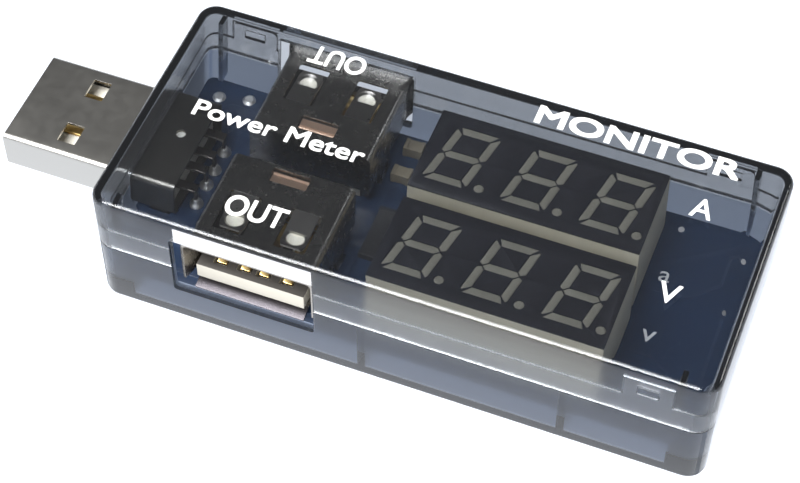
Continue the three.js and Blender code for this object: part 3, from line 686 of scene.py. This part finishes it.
def brushed(material, stretch, strength):
    """Adds long fine scratches along X to a metal's surface, as a bump."""
    tree = material.node_tree
    wire = tree.links.new
    shader = tree.nodes["Principled BSDF"]
    place = tree.nodes.new("ShaderNodeTexCoord")
    scale = tree.nodes.new("ShaderNodeMapping")
    scale.inputs["Scale"].default_value = stretch
    lines = tree.nodes.new("ShaderNodeTexNoise")
    lines.inputs["Scale"].default_value = 1.0
    lines.inputs["Detail"].default_value = 5
    bump = tree.nodes.new("ShaderNodeBump")
    bump.inputs["Strength"].default_value = strength
    bump.inputs["Distance"].default_value = 0.01 * MM
    wire(place.outputs["Object"], scale.inputs["Vector"])
    wire(scale.outputs["Vector"], lines.inputs["Vector"])
    wire(lines.outputs["Fac"], bump.inputs["Height"])
    wire(shader.inputs["Normal"].links[0].from_socket, bump.inputs["Normal"])
    wire(bump.outputs["Normal"], shader.inputs["Normal"])


def two_tone(material, axis, level, before, after, metallic=None, upward=False):
    """Gives a material one colour up to a place along an axis and another beyond it, or beyond it
    only on faces that look up. metallic gives the two values that go with the colours."""
    tree = material.node_tree
    wire = tree.links.new
    shader = tree.nodes["Principled BSDF"]
    place = tree.nodes.new("ShaderNodeTexCoord")
    point = tree.nodes.new("ShaderNodeSeparateXYZ")
    beyond = tree.nodes.new("ShaderNodeMath")
    beyond.operation = "GREATER_THAN"
    beyond.inputs[1].default_value = level
    ramp = tree.nodes.new("ShaderNodeValToRGB")
    ramp.color_ramp.elements[0].color = (*before, 1)
    ramp.color_ramp.elements[1].color = (*after, 1)
    wire(place.outputs["Object"], point.inputs[0])
    wire(point.outputs[axis], beyond.inputs[0])
    chosen = beyond.outputs[0]
    if upward:
        facing = tree.nodes.new("ShaderNodeSeparateXYZ")
        looks_up = tree.nodes.new("ShaderNodeMath")
        looks_up.operation = "GREATER_THAN"
        looks_up.inputs[1].default_value = 0.7
        both = tree.nodes.new("ShaderNodeMath")
        both.operation = "MULTIPLY"
        wire(place.outputs["Normal"], facing.inputs[0])
        wire(facing.outputs["Z"], looks_up.inputs[0])
        wire(chosen, both.inputs[0])
        wire(looks_up.outputs[0], both.inputs[1])
        chosen = both.outputs[0]
    wire(chosen, ramp.inputs["Fac"])
    wire(ramp.outputs["Color"], shader.inputs["Base Color"])
    if metallic:
        gloss = tree.nodes.new("ShaderNodeMapRange")
        gloss.inputs["To Min"].default_value = metallic[0]
        gloss.inputs["To Max"].default_value = metallic[1]
        wire(chosen, gloss.inputs["Value"])
        wire(gloss.outputs["Result"], shader.inputs["Metallic"])


brushed(PLUG_STEEL, (600, 9000, 9000), 0.5)
# Painted shade: the steel inside the case gets a darker copy of the nickel colour.
two_tone(PLUG_STEEL, "X", shell_low[0] + WALL, NICKEL, NICKEL_PAINTED_SHADE_IN_CASE)

plug = solid_object("plug_shell_steel", rounded_box(
    (plug_low[0], plug_low[1], PLUG_SECTION_BOTTOM), (plug_high[0], plug_high[1], plug_high[2]),
    axis=0, radius=PLUG_RADIUS, segments=6))
carve(plug, rounded_box(
    (plug_low[0] - MM, plug_low[1] + PLUG_SHEET, PLUG_SECTION_BOTTOM + PLUG_SHEET),
    (plug_high[0] + MM, plug_high[1] - PLUG_SHEET, plug_high[2] - PLUG_SHEET),
    axis=0, radius=PLUG_RADIUS - PLUG_SHEET, segments=6))
LATCH_X = -39.4 * MM
LATCH_Y = 3.15 * MM
LATCH_HALF = (1.0 * MM, 1.25 * MM)
LUG_X = (-28.8 * MM, -27.0 * MM)
LUG_BOTTOM = 2.15 * MM
SEAM_HALF = 0.06 * MM
for side in (-1, 1):
    y = side * LATCH_Y
    carve(plug, rounded_box((LATCH_X - LATCH_HALF[0], y - LATCH_HALF[1], 0),
                            (LATCH_X + LATCH_HALF[0], y + LATCH_HALF[1], WELL_CLEAR),
                            axis=2, radius=0.12 * MM, segments=3))
    lug_y = side * (plug_high[1] - PLUG_SHEET / 2)
    carve(plug, rounded_box((LUG_X[0], lug_y - PLUG_SHEET / 2, LUG_BOTTOM),
                            (LUG_X[1], lug_y + PLUG_SHEET / 2, 6 * MM)), operation="UNION")
hole = bmesh.new()
disc(hole, -28.4 * MM, 0.7 * MM, 0.5 * MM, 8 * MM, 12 * MM, sides=24)
carve(plug, hole)
carve(plug, rounded_box((plug_low[0] - MM, -SEAM_HALF, PLUG_SECTION_BOTTOM - MM),
                        (plug_high[0] + MM, SEAM_HALF, PLUG_SECTION_BOTTOM + 0.5 * MM)))
soften(plug, 0.07 * MM)
finish_piece(plug, PLUG_STEEL, "plug_steel", "plug_shell")

NYLON = plain_material("white nylon", (0.8, 0.77, 0.68), 0.42)
GOLD_COLOUR = (0.86, 0.62, 0.26)
DULL_TIN = (0.2, 0.18, 0.16)
TAIL_START = -27.5 * MM
PLUG_CONTACT = metal("gold flash and dull tin", GOLD_COLOUR, 0.3, 0.15, 1500, 0.1)
two_tone(PLUG_CONTACT, "X", TAIL_START, GOLD_COLOUR, DULL_TIN)
plug_core = refined_copy("plug_insulator", "plug_moulding", 0.08 * MM)
finish_piece(plug_core, NYLON, "white_insulator", "plug_insulator")
for i in range(1, 5):
    contact = refined_copy(f"plug_contact_{i}", f"plug_contact_strip_{i}", 0.06 * MM)
    finish_piece(contact, PLUG_CONTACT, "contact_plate", f"plug_contact_{i}")

# ------------------------------------------------------------------------------------------------
# USB-A sockets. Each is a folded shell of tinned steel with a flared mouth, closed at the rear,
# with two sprung fingers in its top sheet and a copper leaf under a window. A pale moulding inside
# has a tongue with four sprung contacts. The contact tails are soldered through the board.

SOCKET_SHEET = 0.3 * MM
SOCKET_RADIUS = 0.7 * MM
SOCKET_RAISE = 0.8 * MM
SOCKET_HEIGHT = 5.75 * MM
SOCKET_HALF = 6.55 * MM
SOCKET_FLARE = 0.45 * MM
FINGER_CENTRE = 3.2 * MM
FINGER_HALF = 1.3 * MM
FINGER_SLOT = 0.35 * MM
FINGER_ROOT = 4.4 * MM
FINGER_TIP = 8.7 * MM
FINGER_TAPER = 0.8 * MM
FINGER_LOW = 7.4 * MM
FINGER_DROP = 0.3 * MM
FINGER_LIFT = 0.1 * MM
DIMPLE_CENTRE = 7.35 * MM
DIMPLE_RADIUS = 1.1 * MM
DIMPLE_FRONT = 0.45 * MM
DIMPLE_DEPTH = 0.5 * MM
TINNED = (0.4, 0.375, 0.34)
TINNED_PAINTED_SHADE = (0.14, 0.13, 0.145)
FINGERTIP_PAINTED_HIGHLIGHT = (0.95, 0.9, 0.76)
TONGUE = (0.5, 0.47, 0.4)
TONGUE_TOP_PAINTED_SHADE = (0.06, 0.055, 0.05)
socket_floor = board_top + SOCKET_RAISE
socket_roof = socket_floor + SOCKET_HEIGHT
SOCKET_STEEL = metal("tinned steel", TINNED, 0.26, 0.12, 1100, 0.04)
# Painted shade: the shell is darker up to 1 mm above the board.
two_tone(SOCKET_STEEL, "Z", board_top + 1.0 * MM, TINNED_PAINTED_SHADE, TINNED)
FINGER_STEEL = metal("finger steel with a painted highlight", TINNED, 0.3, 0.12, 1100, 0.04)
# Painted highlight: where a finger dips more than 0.48 mm below the roof, into its dimple, it is a pale
# non-metal colour that stands in for the light the dimple reflects.
two_tone(FINGER_STEEL, "Z", socket_roof - 0.48 * MM, FINGERTIP_PAINTED_HIGHLIGHT, TINNED, metallic=(0.1, 1.0))
TONGUE_NYLON = plain_material("moulding with painted shade on the tongue top", TONGUE, 0.45)
# Painted shade: faces of the moulding that look up, more than 3.4 mm above the board, are near black for
# the shade inside the socket.
two_tone(TONGUE_NYLON, "Z", board_top + 3.4 * MM, TONGUE, TONGUE_TOP_PAINTED_SHADE, upward=True)
GOLD = metal("gold flash", GOLD_COLOUR, 0.22, 0.12, 1500, 0.1)
COPPER = metal("copper alloy", (0.62, 0.43, 0.31), 0.5, 0.15, 1500, 0.2)

SOCKETS = (
    {"end": "front", "rear": -1.1 * MM, "away": -1, "straight": 10.0 * MM, "depth": 12.5 * MM,
     "window": 0.35 * MM},
    {"end": "back", "rear": 2.8 * MM, "away": 1, "straight": 9.8 * MM, "depth": 11.3 * MM,
     "window": 1.3 * MM},
)
core_low, core_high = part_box("front_socket_insulator")
socket_x = (core_low[0] + core_high[0]) / 2
FLARE_STEPS = 6
FLARE_CURVE = 1.9


def socket_box(socket, u0, u1, d0, d1, z0, z1, radius=0.0, axis=2):
    """A box in a socket's own terms: u across it, d from its rear edge towards its mouth."""
    ends = sorted(socket["rear"] + socket["away"] * d for d in (d0, d1))
    return rounded_box((socket_x + u0, ends[0], z0), (socket_x + u1, ends[1], z1),
                       axis=axis, radius=radius, segments=3)


def thicken(piece, thickness, offset=-1, even=False):
    """Gives a surface the thickness of its sheet."""
    modifier = piece.modifiers.new("sheet", "SOLIDIFY")
    modifier.thickness = thickness
    modifier.offset = offset
    modifier.use_even_offset = even
    settle(piece)


def folded_shell(socket):
    """The tube of sheet, open at its mouth, with the rim of the mouth drawn outwards."""
    bm = socket_box(socket, -SOCKET_HALF, SOCKET_HALF, 0, socket["straight"], socket_floor, socket_roof)
    round_edges(bm, edges_along(bm, 1), SOCKET_RADIUS, 5)
    mouth_y = socket["rear"] + socket["away"] * socket["straight"]
    mouth = [f for f in bm.faces if all(abs(v.co.y - mouth_y) < SAME_PLACE for v in f.verts)]
    bmesh.ops.delete(bm, geom=mouth, context="FACES_ONLY")
    rim = [e for e in bm.edges if e.is_boundary]
    flare_length = socket["depth"] - socket["straight"]
    centre_z = (socket_floor + socket_roof) / 2
    for step in range(FLARE_STEPS):
        made = bmesh.ops.extrude_edge_only(bm, edges=rim)["geom"]
        verts = [g for g in made if isinstance(g, bmesh.types.BMVert)]
        rim = [g for g in made if isinstance(g, bmesh.types.BMEdge)]
        reach = (step + 1) / FLARE_STEPS
        gain = SOCKET_FLARE * (reach ** FLARE_CURVE - (step / FLARE_STEPS) ** FLARE_CURVE)
        for vert in verts:
            vert.co.y += socket["away"] * flare_length / FLARE_STEPS
            vert.co.x += math.copysign(gain, vert.co.x - socket_x)
            vert.co.z += math.copysign(gain, vert.co.z - centre_z)
    shell = solid_object(socket["end"] + "_socket_steel", bm)
    thicken(shell, SOCKET_SHEET, even=True)
    return shell


def finger_slot(socket, centre):
    """The opening in the top sheet that a finger lies in, joined to the sheet at its root."""
    wide = FINGER_HALF + FINGER_SLOT
    return socket_box(socket, centre - wide, centre + wide, FINGER_ROOT, FINGER_TIP + 2 * FINGER_SLOT,
                      socket_roof - 0.5 * MM, socket_roof + MM, radius=0.2 * MM)


def finger_strip(socket, centre, number):
    """A sprung finger: a strip that dips into the socket, with a round dimple pressed in its tip."""
    bm = bmesh.new()
    bmesh.ops.create_grid(bm, x_segments=26, y_segments=44, size=1)
    for vert in bm.verts:
        u = vert.co.x * FINGER_HALF
        d = FINGER_ROOT + (vert.co.y + 1) / 2 * (FINGER_TIP - FINGER_ROOT)
        tip_narrowing = max(0.0, (d - (FINGER_TIP - FINGER_TAPER)) / FINGER_TAPER)
        u *= 1 - 0.22 * tip_narrowing ** 2
        fall = (d - FINGER_ROOT) / (FINGER_LOW - FINGER_ROOT)
        if fall <= 1:
            drop = FINGER_DROP * fall ** 1.3
        else:
            drop = FINGER_DROP - FINGER_LIFT * (d - FINGER_LOW) / (FINGER_TIP - FINGER_LOW)
        reach = math.hypot(u, d - DIMPLE_CENTRE)
        if reach < DIMPLE_RADIUS and d > DIMPLE_CENTRE - DIMPLE_FRONT:
            drop += DIMPLE_DEPTH * (1 - (reach / DIMPLE_RADIUS) ** 2.4)
        vert.co = Vector((socket_x + centre + u, socket["rear"] + socket["away"] * d, socket_roof - drop))
    if socket["away"] < 0:
        bmesh.ops.reverse_faces(bm, faces=bm.faces)
    strip = mesh_object(f"{socket['end']}_finger_strip_{number}", bm)
    thicken(strip, SOCKET_SHEET)
    soften(strip, 0.05 * MM, angle=50)
    return strip


LEAF_HALF = 1.9 * MM
LEAF_PROFILE = ((0.0, -0.6), (0.28, -0.32), (0.45, -0.55), (0.6, -0.36), (1.35, -0.34), (1.5, -0.7))


def rear_leaf(socket):
    """A folded leaf under the window in the top sheet."""
    bm = bmesh.new()
    near = socket["window"] + 0.1 * MM
    rows = []
    for u in (-LEAF_HALF, LEAF_HALF):
        rows.append([bm.verts.new((
            socket_x + u, socket["rear"] + socket["away"] * (near + along * MM), socket_roof + lift * MM))
            for along, lift in LEAF_PROFILE])
    for i in range(len(LEAF_PROFILE) - 1):
        bm.faces.new((rows[0][i], rows[1][i], rows[1][i + 1], rows[0][i + 1]))
    leaf = solid_object(socket["end"] + "_rear_leaf", bm)
    thicken(leaf, 0.15 * MM, offset=0)
    return leaf


for socket in SOCKETS:
    end = socket["end"]
    shell = folded_shell(socket)
    for u_side in (-1, 1):
        notch = sorted((u_side * (SOCKET_HALF - 0.75 * MM), u_side * (SOCKET_HALF + MM)))
        carve(shell, socket_box(socket, *notch, socket["straight"] + 0.25 * MM, socket["depth"] + MM,
                                socket_floor - MM, socket_floor + 0.75 * MM))
    carve(shell,
          socket_box(socket, -SOCKET_HALF + MM, SOCKET_HALF - MM, -MM, 3.6 * MM,
                     socket_floor - MM, socket_floor + 0.8 * MM),
          socket_box(socket, -2.0 * MM, 2.0 * MM, socket["window"], socket["window"] + 1.7 * MM,
                     socket_roof - 0.5 * MM, socket_roof + MM, radius=0.15 * MM))
    for centre in (-FINGER_CENTRE, FINGER_CENTRE):
        carve(shell, finger_slot(socket, centre))
    for u_side in (-1, 1):
        lug = sorted((u_side * SOCKET_HALF, u_side * (SOCKET_HALF - SOCKET_SHEET)))
        carve(shell, socket_box(socket, *lug, 3.0 * MM, 5.2 * MM, LUG_BOTTOM, socket_floor + MM),
              operation="UNION")
    soften(shell, 0.06 * MM, angle=50)
    finish_piece(shell, SOCKET_STEEL, "socket_steel", f"{end}_socket_shell")
    for centre in (-FINGER_CENTRE, FINGER_CENTRE):
        number = 1 if centre * -socket["away"] < 0 else 2
        strip = finger_strip(socket, centre, number)
        finish_piece(strip, FINGER_STEEL, "socket_steel", f"{end}_socket_finger_{number}",
                     body=f"{end}_finger_{number}")
    finish_piece(rear_leaf(socket), COPPER, "contact_plate")
    core = refined_copy(f"{end}_socket_insulator", f"{end}_socket_moulding", 0.1 * MM)
    finish_piece(core, TONGUE_NYLON, "white_insulator", f"{end}_socket_insulator")
    for i in range(1, 5):
        spring = refined_copy(f"{end}_socket_spring_{i}", f"{end}_contact_arm_{i}", 0.06 * MM)
        finish_piece(spring, GOLD, "contact_plate", f"{end}_socket_spring_{i}",
                     body=f"{end}_contact_springs")
        tail = refined_copy(f"{end}_socket_tail_{i}", f"{end}_contact_tail_{i}", 0.05 * MM)
        finish_piece(tail, GOLD, "contact_plate", f"{end}_socket_tail_{i}")

# ------------------------------------------------------------------------------------------------
# Displays. Each is a cream moulding with a matt black inked face. Frosted epoxy fills seven
# segments and a point for each digit. A small bare board below it carries the light chips and pins.

CREAM = plain_material("cream moulding", (0.58, 0.53, 0.405), 0.5)
BLACK_INK = plain_material("matt black ink", (0.012, 0.012, 0.017), 0.42, 0.15, 2600, 0.3)
EPOXY = plain_material("frosted epoxy", (0.2, 0.188, 0.15), 0.35, 0.15, 2400, 0.3)
BARE_BOARD = plain_material("bare fibreglass", (0.45, 0.42, 0.3), 0.55)

for display in ("current", "voltage"):
    housing = refined_copy(f"{display}_display_housing", f"{display}_housing", 0.12 * MM, 3)
    finish_piece(housing, CREAM, "display_housing", f"{display}_display_housing")
    face = refined_copy(f"{display}_display_face", f"{display}_inked_face", 0.03 * MM)
    finish_piece(face, BLACK_INK, "display_face", f"{display}_display_face")
    base = refined_copy(f"{display}_display_board", f"{display}_pin_board", 0.03 * MM)
    finish_piece(base, BARE_BOARD, "display_board", f"{display}_display_board")
    for i in range(1, 4):
        digit = refined_copy(f"{display}_display_digit_{i}", f"{display}_digit_{i}", 0.05 * MM)
        finish_piece(digit, EPOXY, "display_epoxy", f"{display}_display_digit_{i}")

# ------------------------------------------------------------------------------------------------
# Parts soldered to the board. Black moulded circuits and resistors, and beige ceramic capacitors
# whose tinned ends are drawn in the same ceramic.

CHIP_BLACK = plain_material("black moulded epoxy", (0.02, 0.02, 0.022), 0.55, 0.15, 2600, 0.5)
CERAMIC = plain_material("beige ceramic", (0.2, 0.17, 0.12), 0.4)
BOARD_PARTS = (
    (CHIP_BLACK, "chip_black", (
        "shunt_resistor", "microcontroller", "current_amplifier", "voltage_regulator",
        "divider_resistor_1", "divider_resistor_2", "protection_diode")),
    (CERAMIC, "ceramic_beige", ("input_capacitor", "output_capacitor", "filter_capacitor")),
)
for material, slot_name, nodes in BOARD_PARTS:
    for node in nodes:
        part = refined_copy(node, node + "_body", 0.05 * MM)
        finish_piece(part, material, slot_name, node)

# ------------------------------------------------------------------------------------------------
# Printing. White ink on the outside of the cover: port and scale marks and a plain title. A few
# small marks are printed on the board beside the displays.

INK_THICKNESS = 0.02 * MM
CURVE_THICKNESS = 0.02
WHITE_INK = plain_material("white ink", (0.86, 0.86, 0.84), 0.5)


def embolden(piece, weight):
    """Makes lettering heavier by joining on three copies of it, each shifted a little."""
    base = bmesh.new()
    base.from_mesh(piece.data)
    bmesh.ops.remove_doubles(base, verts=base.verts, dist=SAME_PLACE)
    base.to_mesh(piece.data)
    copies = []
    for right, up in ((0, 2), (2, 0), (2, 2)):
        shifted = base.copy()
        bmesh.ops.translate(shifted, vec=(right * weight, up * weight, 0), verts=shifted.verts)
        copies.append(shifted)
    base.free()
    carve(piece, *copies, operation="UNION")
    piece.data.transform(Matrix.Translation((-weight, -weight, 0)))


def printed_text(name, words, start, z, height, width, turn=0.0, weight=0.0):
    """A thin mesh of ink in the shape of the words. start is where their baseline begins."""
    curve = bpy.data.curves.new(name, "FONT")
    curve.body = words
    curve.size = 1.0
    curve.extrude = CURVE_THICKNESS / 2
    curve.resolution_u = 6
    letters = add_object(name, curve)
    bpy.context.view_layer.update()
    depsgraph = bpy.context.evaluated_depsgraph_get()
    mesh = bpy.data.meshes.new_from_object(letters.evaluated_get(depsgraph))
    bpy.data.objects.remove(letters)
    lows = [min(v.co[i] for v in mesh.vertices) for i in range(2)]
    highs = [max(v.co[i] for v in mesh.vertices) for i in range(2)]
    scale = Matrix.Diagonal((width * MM / (highs[0] - lows[0]), height * MM / (highs[1] - lows[1]),
                             INK_THICKNESS / CURVE_THICKNESS, 1))
    to_start = Matrix.Translation((-lows[0], -lows[1], 0))
    place = Matrix.Translation((start[0] * MM, start[1] * MM, z + INK_THICKNESS / 2))
    mesh.transform(place @ Matrix.Rotation(turn, 4, "Z") @ scale @ to_start)
    piece = add_object(name, mesh)
    if weight:
        embolden(piece, weight * MM)
    finish_piece(piece, WHITE_INK, "white_insulator")


# Name, words, start, height, width, turn and extra weight, in millimetres and radians.
COVER_PRINT = (
    ("print_title", "Power Meter", (-26.6, -0.6), 2.0, 18.1, 0.0, 0.05),
    ("print_out_front", "OUT", (-18.7, -10.9), 2.45, 6.1, 0.0, 0.06),
    ("print_out_back", "OUT", (-12.7, 12.4), 2.35, 5.9, math.pi, 0.05),
    ("print_amps", "A", (23.2, 5.0), 2.35, 2.1, 0.0, 0.03),
    ("print_volts", "V", (23.1, -5.8), 2.3, 2.1, 0.0, 0.03),
    ("print_word", "MONITOR", (5.6, 10.75), 2.25, 20.8, 0.0, 0.1),
)
for name, words, start, height, width, turn, weight in COVER_PRINT:
    printed_text(name, words, start, cover_high[2], height, width, turn, weight)
printed_text("board_mark_v", "v", (21.6, -3.0), board_top, 1.3, 1.4)
printed_text("board_mark_a", "a", (21.2, 4.1), board_top, 1.2, 1.1)

# ------------------------------------------------------------------------------------------------
# The studio: a light table that curves up all round, its acrylic lit from below. A large softbox
# above and in front, three small ones and a dim surround light the object. Then the camera.

TABLE_FLAT = 1.1
TABLE_BEND = 0.5
TABLE_DROP = 0.2 * MM
table_bm = bmesh.new()
profile = [(0.0, 0.0), (TABLE_FLAT, 0.0)]
for step in range(1, 8):
    angle = math.radians(step * 10)
    profile.append((TABLE_FLAT + TABLE_BEND * math.sin(angle), TABLE_BEND * (1 - math.cos(angle))))
table_verts = [table_bm.verts.new((r, 0, z - TABLE_DROP)) for r, z in profile]
table_edges = [table_bm.edges.new(pair) for pair in zip(table_verts, table_verts[1:])]
bmesh.ops.spin(table_bm, geom=table_verts + table_edges, cent=(0, 0, 0), axis=(0, 0, 1),
               angle=math.tau, steps=64, use_merge=True)
bmesh.ops.remove_doubles(table_bm, verts=table_bm.verts, dist=1e-6)
table = solid_object("light_table", table_bm)
if table.data.polygons[0].normal.z < 0:
    table.data.flip_normals()
table.data.shade_smooth()
acrylic, _, acrylic_shader = new_material("lit white acrylic")
acrylic_shader.inputs["Base Color"].default_value = (0.13, 0.13, 0.13, 1)
acrylic_shader.inputs["Roughness"].default_value = 1.0
acrylic_shader.inputs["Specular IOR Level"].default_value = 0.0
acrylic_shader.inputs["Emission Color"].default_value = (0.92, 0.97, 1.06, 1)
acrylic_shader.inputs["Emission Strength"].default_value = 1.25
table.data.materials.append(acrylic)
table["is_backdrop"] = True


def soft_light(name, azimuth, elevation, distance, size, radiance):
    """A square softbox that faces the object; radiance is how bright its face looks."""
    turn = math.radians(azimuth)
    rise = math.radians(elevation)
    lamp = bpy.data.lights.new(name, "AREA")
    lamp.shape = "SQUARE"
    lamp.size = size
    lamp.energy = radiance * math.pi * size * size
    holder = add_object(name, lamp)
    holder.location = distance * Vector((
        math.sin(turn) * math.cos(rise), -math.cos(turn) * math.cos(rise), math.sin(rise)))
    holder.rotation_euler = (-holder.location).to_track_quat("-Z", "Y").to_euler()


soft_light("main softbox", -22, 60, 1.0, 0.62, 19.0)
soft_light("front softbox", -20, 34, 1.1, 0.3, 2.0)
soft_light("overhead fill", -70, 78, 1.1, 0.4, 5.0)
soft_light("rim softbox", 134, 36, 1.1, 0.26, 7.0)

world = bpy.data.worlds.new("studio surroundings")
world.use_nodes = True
bpy.context.scene.world = world
background = world.node_tree.nodes["Background"]
background.inputs["Color"].default_value = (1, 1, 1, 1)
background.inputs["Strength"].default_value = 0.14
bpy.context.scene.view_settings.view_transform = "Standard"

AZIMUTH = math.radians(20.93)
ELEVATION = math.radians(52.60)
ROLL = math.radians(0.21)
DISTANCE = 213.4 * MM
AIM = Vector((-3.5, -2.7, 7.5)) * MM
forward = Vector((
    -math.sin(AZIMUTH) * math.cos(ELEVATION),
    math.cos(AZIMUTH) * math.cos(ELEVATION),
    -math.sin(ELEVATION),
))
lens = bpy.data.cameras.new("camera")
lens.lens = 96.6
lens.sensor_width = 36
lens.clip_start = 0.005
lens.clip_end = 20
camera = add_object("camera", lens)
camera.location = AIM - forward * DISTANCE
camera.rotation_euler = (forward.to_track_quat("-Z", "Y") @ Quaternion((0, 0, 1), ROLL)).to_euler()
bpy.context.scene.camera = camera

low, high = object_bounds()
